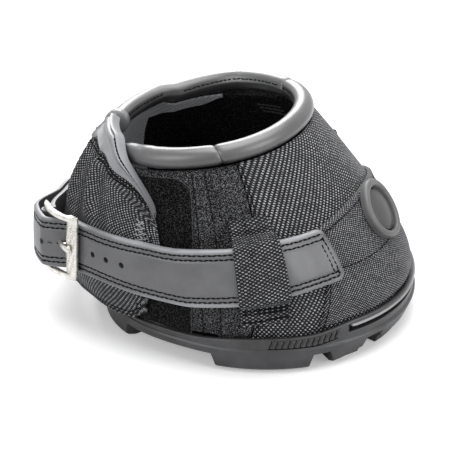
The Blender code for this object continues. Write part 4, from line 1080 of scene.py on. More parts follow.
@dataclass
class Sole:
    """Moulded cup sole with lugs, rim, ribs and toe groove, its toe strip and its insole."""

    wall: float = 0.0024
    inside: float = 0.0016
    floor: float = 0.0114
    lug_height: float = 0.009
    lug_bevel: float = 0.0014
    lug_spans: tuple[Pair, ...] = ((-16.0, 16.0), (26.0, 39.0), (48.5, 81.5), (118.0, 141.0))
    block_turns: Values = (-150.0, -90.0, -30.0, 30.0, 90.0, 150.0)
    block_half: float = 13.0
    draft: float = 1.6
    tread_shares: Values = (0.05, 0.13, 0.15, 0.29, 0.31, 0.46, 0.48, 0.61, 0.64, 0.93)
    floor_shares: Values = (1.0, 0.5, 0.1)
    rocker: float = 0.0042
    undercut: float = 0.0028
    toe_fade: Ease = Ease(20.0, 45.0, 1.0, 0.0)
    bulge: float = 0.0006
    bulge_below: float = 0.001
    step_height: float = 0.0134
    step_depth: float = 0.0005
    groove_low: float = 0.0172
    groove_high: float = 0.0217
    groove_depth: float = 0.0019
    groove_angle: float = 33.0
    groove_end: float = 0.35
    column_gap: float = 0.8
    edge_radius: float = 0.0005
    edge_angle: float = 38.0
    strip_height: float = 0.0012
    strip_proud: float = 0.0004
    liner_height: float = 0.0005
    insole_thickness: float = 0.0037
    insole_edge: float = 0.0009
    rib_angles: Pair = (37.5, 61.0)
    rib_count: int = 12
    rib_below_rim: float = 0.0009
    rib_above_step: float = 0.0007
    rib_height: float = 0.0046
    rib_bow: Pair = (0.22, 0.55)
    rib_sink: float = 0.0002
    rib_lift: float = 0.0003
    rib_ends: Pair = (0.12, 0.88)
    line_gap: float = 0.0001
    line_height: float = 0.0005

    @property
    def edge(self) -> float:
        """Outset of the sole's outer wall."""
        return self.inside + self.wall

    def spans(self) -> tuple[list[Pair], list[Pair]]:
        """Angles of the lugs and of the inner tread blocks."""
        mirrored = [(-high, -low) for low, high in self.lug_spans if low > 0.0]
        blocks = [(turn - self.block_half, turn + self.block_half) for turn in self.block_turns]
        return [*self.lug_spans, *mirrored], blocks

    def groove_levels(self, degrees: float, bottom: float, top: float) -> list[float]:
        """Heights of the groove's four lines at an angle, spread evenly where it has ended."""
        low, high = self.groove_low, self.groove_high
        if abs(degrees) <= self.groove_angle:
            return [low, low, high, high]
        if abs(degrees) <= self.groove_angle + self.column_gap:
            return [low, low + self.step_depth, high - self.step_depth, high]
        return steps(bottom, top, 5)[1:-1]

    def profile(self, degrees: float) -> list[Vector]:
        """Outline of the sole at one angle.

        Args:
            degrees: Angle from the toe.

        Returns:
            Points from the tread's centre out, up the wall, over the rim and in over the floor.
        """
        lugs, blocks = self.spans()
        on_lug = any(low <= degrees <= high for low, high in lugs)
        high, edge = self.lug_height, self.edge
        block = 0.0 if any(low <= degrees <= far for low, far in blocks) else high
        lug = 0.0 if on_lug else high
        toe = self.toe_fade.at(abs(degrees))
        foot = between(self.lug_bevel, self.rocker, toe) if on_lug else high
        groove = self.groove_depth if abs(degrees) <= self.groove_angle else 0.0
        top = FORM.rim_height(degrees)
        skin, bulge, under = edge - self.step_depth, edge + self.bulge, self.undercut * toe
        step_top = self.step_height + self.step_depth * 0.5
        levels = self.groove_levels(degrees, step_top, top - self.step_depth)
        tread = zip(self.tread_shares, (0.0, 0.0, high, high, block, block, high, high, lug, lug))
        plan = [(edge, share, height) for share, height in tread]
        plan += [(outset, 1.0, height) for outset, height in (
            (edge - self.lug_bevel - under, foot),
            (between(edge, bulge, 0.3) - under * 0.9, between(foot, high, 0.2)),
            (bulge - under * 0.5, high if on_lug else high + self.lug_bevel * 0.5),
            (bulge, self.step_height - self.bulge_below), (edge, self.step_height), (skin, step_top),
            (skin, levels[0]), (skin - groove, levels[1]), (skin - groove, levels[2]), (skin, levels[3]),
            (skin, top - self.step_depth), (skin - self.step_depth, top), (self.inside, top))]
        plan += [(self.inside, share, self.floor) for share in self.floor_shares]
        return [FORM.seat_point(degrees, outset, height, share) for outset, share, height in plan]

    def build(self) -> None:
        """Sole, ribs, toe strip and insole."""
        lugs, blocks = self.spans()
        ends = self.groove_angle + self.groove_end
        marks = {-HALF_TURN, HALF_TURN, -ends, -self.groove_angle, self.groove_angle, ends}
        for low, high in [*lugs, *blocks]:
            marks.update((low - self.draft, low, high, high + self.draft))
        for degrees in steps(-HALF_TURN, HALF_TURN, 180):
            if all(abs(degrees - other) > self.column_gap for other in marks):
                marks.add(degrees)
        profiles = {degrees: self.profile(degrees) for degrees in sorted(marks)}
        mesh = Cloth.turned(list(profiles), len(profiles[HALF_TURN]), lambda degrees, k: profiles[degrees][k])
        sole = Workshop.finish("sole_moulding", mesh, "sole", "root", ("outsole",), "outsole", 30.0)
        bevel = sole.modifiers.new("moulded_edges", "BEVEL")
        bevel.width, bevel.segments, bevel.limit_method = self.edge_radius, 2, "ANGLE"
        bevel.angle_limit, bevel.use_clamp_overlap = math.radians(self.edge_angle), True
        self.add_ribs()
        self.add_strip()
        self.add_insole()

    def add_ribs(self) -> None:
        """Short ribs on both sides of the rim, with black slits of painted shade between them and a black
        line of painted shade under them.
        """
        low, high = self.rib_angles
        places = steps(low, high, self.rib_count - 1)
        pitch = places[1] - places[0]
        for side in Side:
            for name, finish, turns, half, crown in (
                    ("rim_ribs", "sole", places, 0.45, 0.0005),
                    # the black slits between the ribs and the black line under them are painted shade
                    ("rim_slit_painted_shade", "thread", [turn + pitch * 0.5 for turn in places], 0.16, 0.0003),
                    ("rim_line_painted_shade", "thread", [(low + high + pitch) * 0.5], (high - low + pitch) * 0.5, 0.0003)):
                mesh = bmesh.new()
                for turn in turns:
                    Workshop.join(mesh, self.rib(side, turn, half, crown, name == "rim_line_painted_shade"))
                Workshop.finish(f"{name}_{side.word}", mesh, finish, "root", (), "outsole", 50.0)

    def rib_span(self, degrees: float) -> Pair:
        """Heights of the foot and of the head of a rib at an angle."""
        head = FORM.rim_height(degrees) - self.rib_below_rim
        return max(self.step_height + self.rib_above_step, head - self.rib_height), head

    def rib(self, side: Side, turn: float, half: float, crown: float, is_line: bool) -> Mesh:
        """One upright rib, a slit of painted shade, or the line of painted shade under them.

        Args:
            side: Side of the boot.
            turn: Angle of its middle, from the toe.
            half: Half its width, as an angle.
            crown: How far it stands off the rim.
            is_line: Whether it is the line under the ribs.

        Returns:
            Its closed mesh.
        """

        def corner(across: float, share: float, is_outer: bool) -> Vector:
            """Point of the rib."""
            bow = self.rib_bow[0] * math.sin(math.tau * share) - self.rib_bow[1] * (share - 0.5)
            degrees = turn + across * half + (0.0 if is_line else bow)
            under = self.rib_span(degrees)[0] - self.line_gap - self.line_height * share
            height = under if is_line else between(*self.rib_span(turn), share)
            swell = math.sin(math.pi * between(*self.rib_ends, share)) ** 0.5
            lift = crown * (1.0 - abs(across)) ** 0.5 * swell + self.rib_lift if is_outer else 0.0
            outset = self.edge - self.step_depth - self.rib_sink + lift
            return FORM.seat_point(side.value * degrees, outset, height)

        columns = steps(-1.0, 1.0, 30) if is_line else [-1.0, -0.8, -0.3, 0.3, 0.8, 1.0]
        return Cloth.lay(columns, steps(0.0, 1.0, 6), corner)

    def add_strip(self) -> None:
        """Light strip in the upper part of the toe groove, and a black sheet of painted shade in the groove's
        recess below it.
        """
        wall = self.edge - self.step_depth - self.groove_depth + FORM.clearance
        low = self.groove_high - FORM.clearance - self.strip_height
        end = self.groove_angle - 1.0
        recess = low - self.groove_low - FORM.clearance
        for name, start, height, proud, finish, nodes, slot in (
                ("toe_light_strip", low, self.strip_height, self.groove_depth + self.strip_proud, "trim",
                 ("toe_strip",), "toe_trim"),
                # black sheet of painted shade over the recess below the strip
                ("toe_groove_painted_shade", self.groove_low, recess, self.liner_height, "thread", (), "outsole")):

            def corner(degrees: float, share: float, is_outer: bool) -> Vector:
                """Point of the strip, or of the sheet of painted shade."""
                round_off = 0.5 * edge_drop(min(share, 1.0 - share) * height, 0.0009)
                fade = edge_drop((end - abs(degrees)) * DEGREE_RUN, 0.0012)
                out = (proud - round_off - fade) if is_outer else 0.0
                return FORM.seat_point(degrees, wall + max(out, 0.0), start + height * share)

            mesh = Cloth.lay(crowded(-end, end, 56, 0.8), steps(0.0, 1.0, 8), corner)
            Workshop.finish(name, mesh, finish, "root", nodes, slot)

    def add_insole(self) -> None:
        """Felt pad with a rounded rim."""
        inset = -(LAYERS.upper + LAYERS.lining + 3.0 * FORM.clearance + self.step_depth)
        bottom = self.floor + FORM.clearance
        top = bottom + self.insole_thickness
        edge = self.insole_edge
        levels = ((0.0, 0.3, bottom), (0.0, 1.0, bottom), (0.0, 1.0, top - edge),
                  (-edge / 3.0, 1.0, top - edge / 3.0), (-edge, 1.0, top), (-edge, 0.3, top))

        def corner(degrees: float, k: int) -> Vector:
            """Point of the pad."""
            drawn, share, height = levels[k]
            return FORM.seat_point(degrees, inset + drawn, height, share)

        mesh = Cloth.turned(steps(-HALF_TURN, HALF_TURN, 120), len(levels), corner)
        pad = Workshop.finish("insole_felt", mesh, "felt", "root", ("insole_pad",), "insole")


@dataclass
class Upper:
    """Vamp, rear side panels, linings, toe overlays and closure strip."""

    vamp: Cut = Cut("vamp_panel", "ballistic", "vamp", "vamp_weave", (0.215, 0.098))
    vamp_low: float = 70.0
    vamp_lean: float = 22.0
    vamp_edge: float = 0.0009
    seam_gap: float = 0.12
    seam_inset: float = 1.5
    side_near: Cut = Cut("side_near_panel", "side", "side_near", "side_fabric", (0.15, 0.09))
    side_far: Cut = Cut("side_far_panel", "side", "side_far", "side_fabric", (0.13, 0.09))
    side_edge: float = 0.0016
    near_tail: float = -165.0
    quilt_turns: Pair = (80.0, 86.5)
    quilt_lean: float = 14.0
    lining: Cut = Cut("front_lining", "felt", "lining_front", "lining", (0.2, 0.088))
    lining_half: float = 74.0
    lining_top: float = 0.97
    lining_rib: Pair = (0.0003, 60.0)
    foot_gap: float = 0.03
    pile: Cut = Cut("far_pile", "pile", "pile_panel", "closure_pile", (0.11, 0.088))
    pile_start: float = 74.35
    pile_end: float = 150.5
    pile_thickness: float = 0.0015
    pile_top: float = 0.955
    pile_back: Ease = Ease(108.0, 122.0, 0.0, 0.045)
    pile_corner: Pair = (12.0, 0.06)
    band: Cut = Cut("far_lining_band", "twill", "", "lining", (0.044, 0.012), ("side_far_panel",))
    band_start: float = 108.0
    band_rises: Pair = (0.84, 0.975)
    band_offsets: Pair = (0.0011, 0.0001)
    row_rises: Values = (0.86, 0.885, 0.91)
    row_turns: Pair = (76.0, 90.0)
    toe_band: Cut = Cut("toe_band_cloth", "fine", "toe_band", "fine_weave", (0.155, 0.028), ("vamp_panel",))
    toe_half: float = 50.0
    toe_low: float = 0.482
    toe_top: Pair = (0.745, 0.14)
    toe_hem: tuple[Bell, Bell] = (Bell(0.94, 0.035, 0.0006), Bell(0.85, 0.03, -0.0005))
    toe_rows: Pair = (0.028, 0.502)
    overlay_edge: float = 0.0012
    cap: Cut = Cut("toe_cap_cloth", "fine", "toe_cap", "fine_weave", (0.13, 0.036), ("vamp_panel",))
    cap_half: float = 48.0
    cap_lean: float = 27.0
    cap_top: float = 0.486
    cap_foot: Pair = (0.2, 0.01)
    cap_bulge: Pair = (0.0018, 1.15)
    loop: Cut = Cut("loop_strip_pile", "pile", "loop_strip", "closure_pile", (0.055, 0.085),
                    ("side_near_panel",))
    loop_front: float = -91.5
    loop_end: float = -130.0
    loop_lean: float = 18.0
    loop_top: float = 0.965
    loop_corner: Ease = Ease(0.9, 0.985)
    loop_corner_turn: float = 9.0
    loop_edge: float = 0.0007
    edging_lift: float = 0.0008

    def rows(self) -> list[float]:
        """Shares of the rows, closer at the edges."""
        return crowded(0.0, 1.0, 44, 0.018)

    def skin(self, base: float, degrees: float, share: float, ends: Pair, radius: float) -> float:
        """Offset of a sheet's outer face, let down at its borders.

        Args:
            base: Offset away from the borders.
            degrees: Angle of the point.
            share: Share of the way up the sheet.
            ends: Angles of the sheet's ends.
            radius: Radius of the rounded border.

        Returns:
            The offset.
        """
        rise = min(share, 1.0 - share) * WALL_RUN
        run = min(abs(degrees - ends[0]), abs(degrees - ends[1])) * DEGREE_RUN
        return base - edge_drop(rise, radius) - edge_drop(run, radius)

    def seam(self, rise: float) -> float:
        """Angle of the seam between the vamp and a side panel."""
        return self.vamp_low - self.vamp_lean * rise

    def build(self) -> None:
        """All the panels, outside and in."""
        self.add_vamp()
        self.add_side(Side.NEAR, self.side_near, self.near_tail)
        self.add_side(Side.FAR, self.side_far, Flap.root)
        self.add_linings()
        self.add_toe_band()
        self.add_toe_cap()
        self.add_loop_strip()

    def add_vamp(self) -> None:
        """Front panel of coarse ballistic weave."""
        low = self.vamp_low

        def lean(degrees: float, rise: float) -> float:
            """Angle of a column, which follows the seams."""
            return degrees / low * (self.seam(rise) - self.seam_gap)

        def outer(degrees: float, share: float) -> float:
            """Offset of the outer face."""
            return self.skin(0.0, degrees, share, (-low, low), self.vamp_edge)

        mesh = Cloth.panel(crowded(-low, low, 110, 1.0), self.rows(), FORM.wall_foot, lambda a: 1.0,
                           lambda a, s: -LAYERS.upper, outer, lean)
        Workshop.sheet(self.vamp, mesh)
        for side in Side:
            path = [FORM.spot(side.value * (self.seam(t) - self.seam_inset), t, 0.0001)
                    for t in steps(0.03, 0.99, 40)]
            THREAD.sew(f"vamp_seam_{side.word}", [path], 0.8)

    def add_side(self, side: Side, cut: Cut, end: float) -> None:
        """Rear side panel with its quilting: the near one tucks in, the far one ends at the flap."""
        low = side.value * self.vamp_low

        def lean(degrees: float, rise: float) -> float:
            """Angle of a column, which starts at the seam."""
            start = side.value * (self.seam(rise) + self.seam_gap)
            return start + (end - start) * (degrees - low) / (end - low)

        def outer(degrees: float, share: float) -> float:
            """Offset of the outer face."""
            return self.skin(-0.0001, degrees, share, (low, low), self.side_edge)

        mesh = Cloth.panel(crowded(low, end, 70, 1.0), self.rows(), FORM.wall_foot, lambda a: 1.0,
                           lambda a, s: -LAYERS.upper, outer, lean)
        Workshop.sheet(cut, mesh)
        for turn in self.quilt_turns:
            path = [FORM.spot(side.value * (turn - self.quilt_lean * t), t, 0.0001)
                    for t in steps(0.05, 0.98, 36)]
            THREAD.sew(f"{cut.node}_quilt_{int(turn)}", [path], 0.8)

    def add_linings(self) -> None:
        """Padded front lining, and on the far side the dark pile, a lighter band and its stitching."""
        wall = -LAYERS.upper - FORM.clearance
        rib, count = self.lining_rib

        def foot(degrees: float) -> float:
            """Rise of the lower edge of the linings."""
            return FORM.wall_foot(degrees) + self.foot_gap

        def carrier(degrees: float, share: float) -> float:
            """Offset of what the far pile lies on: the upper, then the flap."""
            return between(wall, LAYERS.flap_in - FORM.clearance, Flap.shift(degrees))

        def top(degrees: float) -> float:
            """Upper edge of the far pile, with a rounded rear corner."""
            corner = smooth_step(degrees, self.pile_end - self.pile_corner[0], self.pile_end)
            return self.pile_top - self.pile_back.at(degrees) - self.pile_corner[1] * corner * corner

        half = self.lining_half
        mesh = Cloth.panel(steps(-half, half, 70), steps(0.0, 1.0, 30), foot, lambda a: self.lining_top,
                           lambda a, s: wall - LAYERS.lining - rib * math.sin(s * count), lambda a, s: wall)
        Workshop.sheet(self.lining, mesh)
        mesh = Cloth.panel(steps(self.pile_start, self.pile_end, 70), steps(0.0, 1.0, 30), foot, top,
                           lambda a, s: carrier(a, s) - self.pile_thickness, carrier)
        Workshop.bend_with_flap(Workshop.sheet(self.pile, mesh))
        inner, outer = self.band_offsets
        mesh = Cloth.panel(steps(self.band_start, self.pile_end, 50), steps(0.0, 1.0, 8),
                           lambda a: self.band_rises[0], lambda a: self.band_rises[1],
                           lambda a, s: carrier(a, s) - inner, lambda a, s: carrier(a, s) - outer)
        Workshop.bend_with_flap(Workshop.sheet(self.band, mesh))
        paths = []
        for rise in self.row_rises:
            lift = wall - self.pile_thickness - 0.0001
            spots = [FORM.spot(a, rise, lift) for a in steps(*self.row_turns, 30)]
            paths.append([(point, -normal) for point, normal in spots])
        THREAD.sew("lining_stitches", paths, 1.6, thread="edging")

    def add_toe_band(self) -> None:
        """Toe band that carries the badge, with a rolled hem."""
        half = self.toe_half

        def outer(degrees: float, share: float) -> float:
            """Offset of the outer face, with the hem."""
            hem = sum(bell.at(share) for bell in self.toe_hem)
            spread = share * 0.4 if share < 0.5 else 1.0 - (1.0 - share) * 0.4
            return hem + self.skin(LAYERS.overlay_out, degrees, spread, (-half, half), self.overlay_edge)

        def top(degrees: float) -> float:
            """Rise of the upper edge, which falls to both sides."""
            return self.toe_top[0] - self.toe_top[1] * (degrees / half) ** 2

        mesh = Cloth.panel(crowded(-half, half, 80, 0.9), crowded(0.0, 1.0, 20, 0.06), lambda a: self.toe_low,
                           top, lambda a, s: FORM.clearance, outer)
        Workshop.sheet(self.toe_band, mesh)
        hem_gap, low_row = self.toe_rows
        paths = [[FORM.spot(a, top(a) - hem_gap, LAYERS.overlay_out) for a in steps(-48.0, 48.0, 90)],
                 [FORM.spot(a, low_row, LAYERS.overlay_out) for a in steps(-28.0, 28.0, 60)]]
        THREAD.sew("toe_band_stitches", paths, 0.8)

    def add_toe_cap(self) -> None:
        """Cap below the toe band, with its bulged toe."""
        half = self.cap_half

        def lean(degrees: float, rise: float) -> float:
            """Angle of a column, which leans to the toe."""
            return degrees / half * (half - self.cap_lean * rise)

        def outer(degrees: float, share: float) -> float:
            """Offset of the outer face, with the bulge."""
            bulge = self.cap_bulge[0] * math.sin(math.pi * min(share * self.cap_bulge[1], 1.0))
            flat = self.skin(LAYERS.overlay_out, degrees, share * 0.5, (-half, half), self.overlay_edge)
            return flat + bulge * (1.0 - abs(degrees) / half)

        def foot(degrees: float) -> float:
            """Rise of the lower edge."""
            return FORM.over_rim(lean(degrees, self.cap_foot[0])) + self.cap_foot[1]

        mesh = Cloth.panel(crowded(-half, half, 80, 0.9), crowded(0.0, 1.0, 24, 0.05), foot,
                           lambda a: self.cap_top, lambda a, s: FORM.clearance * 0.5, outer, lean)
        Workshop.sheet(self.cap, mesh)
        for side in Side:
            path = [FORM.spot(side.value * (lean(half, t) - 1.2), t, LAYERS.overlay_out)
                    for t in steps(0.14, 0.47, 20)]
            THREAD.sew(f"cap_seam_{side.word}", [path], 1.1)

    def add_loop_strip(self) -> None:
        """Dark loop strip on the near side, with a thin paler edging."""
        first, end = self.loop_front, self.loop_end

        def front(rise: float) -> float:
            """Angle of the front edge, with a rounded upper corner."""
            return first + self.loop_lean * rise - self.loop_corner_turn * self.loop_corner.at(rise) ** 2

        def lean(degrees: float, rise: float) -> float:
            """Angle of a column, which follows the front edge."""
            start = front(rise)
            return start + (degrees - first) / (end - first) * (end - start)

        def outer(degrees: float, share: float) -> float:
            """Offset of the outer face."""
            return self.skin(LAYERS.loop_out, degrees, share, (first, first), self.loop_edge)

        mesh = Cloth.panel(crowded(first, end, 30, 0.6), self.rows(), FORM.over_rim, lambda a: self.loop_top,
                           lambda a, s: FORM.clearance * 0.5, outer, lean)
        Workshop.sheet(self.loop, mesh)
        lift = self.edging_lift
        edge = [FORM.spot(front(t) + 0.1, t, lift) for t in steps(0.06, self.loop_top, 60)]
        top = [FORM.spot(a, self.loop_top + 0.003, lift) for a in steps(front(self.loop_top), -96.0, 20)]
        THREAD.sew("loop_strip_edging", [edge, top], 0.8, thread="edging")


@dataclass
class Collar:
    """Padded leather tube along the collar line, in sewn sections."""

    half_depth: float = 0.005
    half_height: float = 0.0056
    offsets: Values = (-0.0015, -0.0045, 0.001)
    tucked: Ease = Ease(96.0, 112.0)
    thinned: Ease = Ease(118.0, 148.0, 1.0, 0.38)
    seam: float = 55.0
    seam_gap: float = 0.12
    near_end: float = -158.0
    far_end: float = 194.0
    gather: Pair = (0.14, 0.0012)
    end_run: float = 0.0009
    groove: Bell = Bell(0.36, 0.018, 0.1)
    foot: Bell = Bell(0.75, 0.05, 0.12)
    pucker: Bell = Bell(0.36, 0.07, 0.012)
    pucker_turns: Values = (2.9, 1.7)
    softness: Values = (0.02, 55.0, 0.8)
    stitch_lift: float = 0.0001

    def middle(self, degrees: float) -> tuple[Vector, Vector, Vector, float]:
        """Middle of the tube, its outward and upward directions, and its share of the full padding."""
        point, normal, _, up = FORM.frame(degrees, 1.0)
        outer, tuck, on_flap = self.offsets
        shift = between(between(outer, tuck, self.tucked.at(-degrees)), on_flap, Flap.shift(degrees))
        slim = self.thinned.at(-degrees)
        return point + normal * shift + up * (self.half_height * slim + FORM.clearance), normal, up, slim

    def surface(self, degrees: float, share: float, start: float, end: float) -> Vector:
        """Point of the tube's skin.

        Args:
            degrees: Angle of the section.
            share: Share of a turn round the tube.
            start: Angle at which this roll starts.
            end: Angle at which it ends.

        Returns:
            The point.
        """
        middle, out, up, slim = self.middle(degrees)
        across, tall = circle(share)
        from_end = min(abs(degrees - start), abs(degrees - end)) * self.end_run
        drawn_in, fade = self.gather
        gather = 1.0 - drawn_in * math.exp(-from_end / fade)
        fast, slow = self.pucker_turns
        pucker = math.sin(degrees * fast + slow * math.sin(degrees)) * self.pucker.at(share)
        depth, scale, spread = self.softness
        soft = depth * noise.noise(middle * scale + Vector((across, tall, 0.0)) * spread)
        size = gather * slim * (1.0 - self.groove.at(share) - self.foot.at(share) + pucker + soft)
        return middle + out * (self.half_depth * size * across) + up * (self.half_height * size * tall)

    def build(self) -> None:
        """Front, near and far sections, with their stitching."""
        first = self.seam - self.seam_gap
        second = self.seam + self.seam_gap
        for name, start, end, nodes in (
                ("collar_front_roll", -first, first, ("collar_front",)),
                ("collar_near_roll", self.near_end, -second, ("collar_near",)),
                ("collar_far_roll", second, self.far_end, ("collar_far", "flap_collar"))):
            columns = steps(start, end, int(abs(end - start) * 1.1))
            mesh = Cloth.tube(columns, 28, lambda a, turn: self.surface(a, turn, start, end))
            roll = Workshop.finish(name, mesh, "collar", "root", nodes, "collar_leather", 60.0)
            Padding().swell(roll)
            if end > Flap.root:
                Workshop.bend_with_flap(roll)
        rows = steps(60.0, 190.0, 220)
        for name, turns, body in (("far", [a for a in rows if a < Flap.root], "root"),
                                  ("flap", [a for a in rows if a > Flap.root + Flap.root_run], "flap"),
                                  ("front", steps(-54.0, 54.0, 200), "root")):
            THREAD.sew(f"collar_stitches_{name}", [[self.on_skin(a) for a in turns]], body=body)

    def on_skin(self, degrees: float) -> Spot:
        """Point of the tube's sewn groove and the direction out of it."""
        point = self.surface(degrees, self.groove.middle, -FULL_TURN, FULL_TURN)
        away = (point - self.middle(degrees)[0]).normalized()
        return point + away * self.stitch_lift, away


@dataclass
class Padding:
    """Simulated stuffing of padded pieces, no point moved further than a limit."""

    pressure: float = 2.2
    most: float = 0.0006
    frames: int = 12
    mass: float = 0.2
    tension: float = 40.0
    compression: float = 12.0
    bending: float = 0.4

    def swell(self, piece: Piece) -> None:
        """Blow a closed piece up by cloth simulation and keep the result in its mesh."""
        before = [v.co.copy() for v in piece.data.vertices]
        piece.parent = None
        cloth = piece.modifiers.new("stuffing", "CLOTH")
        settings, collision = cloth.settings, cloth.collision_settings
        settings.use_pressure = True
        settings.uniform_pressure_force = self.pressure
        settings.effector_weights.gravity = 0.0
        settings.mass = self.mass
        settings.tension_stiffness = self.tension
        settings.compression_stiffness = self.compression
        settings.bending_stiffness = self.bending
        collision.use_collision = collision.use_self_collision = False
        cloth.point_cache.frame_start, cloth.point_cache.frame_end = 1, self.frames
        scene = bpy.context.scene
        for frame in range(1, self.frames + 1):
            scene.frame_set(frame)
        evaluated = piece.evaluated_get(bpy.context.evaluated_depsgraph_get())
        after = [v.co.copy() for v in evaluated.data.vertices]
        piece.modifiers.remove(cloth)
        scene.frame_set(1)
        for vertex, old, new in zip(piece.data.vertices, before, after):
            move = new - old
            vertex.co = old + move * min(1.0, self.most / max(move.length, 1e-9))
        piece.data.update()
        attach(piece, piece["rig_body"])


@dataclass
class Flap:
    """Rear flap that wraps from the far side round the heel to the near side."""

    nylon: Cut = Cut("flap_nylon_panel", "nylon", "rear_flap", "flap_nylon", (0.235, 0.1),
                     ("sole_moulding", "loop_strip_pile"))
    root: float = 138.0
    root_run: float = 14.0
    end: float = 269.0
    edge: float = 0.0012
    roll_end: float = 194.0
    top_rise: float = 0.985
    over_roll: Ease = Ease(196.0, 206.0, 0.0, 0.115)
    front_drop: Ease = Ease(232.0, 269.0, 0.0, 0.15)
    top_corner: Pair = (254.0, 0.16)
    low_gap: float = 0.012
    low_corner: Ease = Ease(258.0, 269.0)
    low_corner_rise: float = 0.07
    hang_starts: Ease = Ease(150.0, 180.0, 0.0, 0.0055)
    hang_ends: Ease = Ease(205.0, 232.0, 1.0, 0.0)
    hang_fades: Ease = Ease(0.04, 0.28, 1.0, 0.0)
    front_start: float = 240.0
    front_lean: Ease = Ease(0.1, 0.6, -9.0, 0.0)
    folds: tuple[Bell, ...] = (Bell(190.0, 3.0, 0.0014), Bell(201.0, 2.2, 0.0022), Bell(209.0, 1.8, 0.002),
                               Bell(217.5, 2.6, 0.0034), Bell(228.0, 4.2, -0.0022), Bell(238.5, 2.2, 0.003),
                               Bell(246.0, 3.5, -0.0008))
    fold_slope: float = 36.0
    fold_middle: float = 0.7
    fold_starts: Ease = Ease(0.58, 0.74)
    fold_ends: Ease = Ease(0.93, 1.03, 1.0, 0.0)
    # creases of painted shade down the pleats: angle, width in metres and darkness
    creases: tuple[Bell, ...] = (Bell(228.0, 0.0034, 0.8), Bell(212.0, 0.0022, 0.6),
                                 Bell(247.0, 0.0026, 0.35))
    wrap_run: float = 3.5
    wrap_dome: float = 2.6
    wrap_turns: Pair = (-85.0, 265.0)
    wrap_offsets: Pair = (0.0004, 0.0014)
    lining: Cut = Cut("flap_lining_twill", "twill", "flap_lining", "lining", (0.08, 0.08),
                      ("flap_nylon_panel",))
    lining_turns: Pair = (150.8, 192.0)
    lining_rises: Pair = (0.03, 0.95)
    lining_thickness: float = 0.0015
    binding: Cut = Cut("flap_binding_leather", "binding", "flap_binding", "binding_leather", (0.125, 0.016),
                       ("flap_nylon_panel",), "flap", 60.0)
    binding_start: float = 197.0
    binding_drop: Ease = Ease(240.0, 269.0, 0.1, 0.018)
    binding_tip: Ease = Ease(197.0, 204.0, 0.5, 1.0)
    binding_over: float = 0.009
    ridges: tuple[Bell, ...] = (Bell(0.95, 0.045, 0.0011), Bell(0.85, 0.03, -0.0007),
                                Bell(0.72, 0.07, 0.0007), Bell(0.6, 0.035, -0.0006))
    wrapped: Ease = Ease(0.9, 0.96)
    hook: Cut = Cut("hook_patch_pile", "pile", "hook_patch", "closure_pile", (0.04, 0.068),
                    ("flap_nylon_panel",), "flap")
    hook_turns: Pair = (-127.0, -103.0)
    hook_rises: Pair = (0.16, 0.93)
    hook_thickness: float = 0.0006

    @staticmethod
    def bend_points() -> Spot:
        """Where the cloth leaves the upper and where it is all flap."""
        return FORM.place(134.0, 0.5, 0.002), FORM.place(150.0, 0.5, 0.002)

    @staticmethod
    def shift(degrees: float) -> float:
        """Share of the way from the upper's plane out to the flap's own plane."""
        return smooth_step(degrees, Flap.root, Flap.root + Flap.root_run)

    def top(self, degrees: float) -> float:
        """Rise of the upper edge, with a rounded front corner."""
        start, drop = self.top_corner
        corner = min(max((degrees - start) / (self.end - start), 0.0), 1.0)
        rise = self.top_rise + self.over_roll.at(degrees) - self.front_drop.at(degrees)
        return rise - drop * (1.0 - math.sqrt(1.0 - corner * corner))

    def low(self, degrees: float) -> float:
        """Rise of the lower edge, with a rounded front corner."""
        return FORM.over_rim(degrees) + self.low_gap + self.low_corner_rise * self.low_corner.at(degrees) ** 2

    def hang(self, degrees: float, rise: float) -> float:
        """How far the lower edge stands off the form behind the heel."""
        return self.hang_starts.at(degrees) * self.hang_ends.at(degrees) * self.hang_fades.at(rise)

    def lean(self, degrees: float, rise: float) -> float:
        """Angle of a column at a rise: the front edge leans, and the columns follow it."""
        return degrees + self.front_lean.at(rise) * smooth_step(degrees, self.front_start, self.end)

    def pleat(self, degrees: float, rise: float) -> float:
        """Depth of the soft upright pleats over the heel."""
        across = degrees + self.fold_slope * (rise - self.fold_middle)
        waves = sum(fold.at(across) for fold in self.folds)
        return waves * self.fold_starts.at(rise) * self.fold_ends.at(rise)

    def face(self, degrees: float, share: float, plane: Pair, pleated: float) -> float:
        """Offset of a face.

        Args:
            degrees: Angle of the point.
            share: Share of the way up the flap.
            plane: Offset of the face at the root and on the flap.
            pleated: How much of the pleats it takes.

        Returns:
            The offset.
        """
        rise = between(self.low(degrees), self.top(degrees), share)
        flat = between(*plane, self.shift(degrees))
        return flat + self.pleat(degrees, rise) * pleated + self.hang(degrees, rise)

    def outer(self, degrees: float, share: float) -> float:
        """Offset of the outer face, rounded at its edges."""
        rounded = edge_drop(share * WALL_RUN, self.edge) + edge_drop((1.0 - share) * WALL_RUN, self.edge)
        front = edge_drop((self.end - degrees) * FRONT_RUN, self.edge)
        return self.face(degrees, share, (-0.001, LAYERS.flap_out), 1.0) - rounded - front

    def inner(self, degrees: float, share: float) -> float:
        """Offset of the inner face."""
        return self.face(degrees, share, (-LAYERS.upper, LAYERS.flap_in), 0.8)

    def build(self) -> None:
        """Nylon, lining, binding, hook patch and stitching."""
        columns = crowded(self.root + 0.2, self.end, 110, 1.0)
        mesh = Cloth.panel(columns, crowded(0.0, 1.0, 50, 0.016), self.low, self.top, self.inner, self.outer,
                           self.lean)
        nylon = Workshop.sheet(self.nylon, mesh)
        rises = steps(0.5, 0.98, 30)
        lines = [(crease, [self.on_crease(crease, t) for t in rises]) for crease in self.creases]

        def fold(place: Vector, _: Vector) -> float:
            """Painted shade of the pleats' creases at a place."""
            return max(crease.height * math.exp(-min((place - spot).length_squared for spot in line)
                                                / crease.width ** 2) for crease, line in lines)

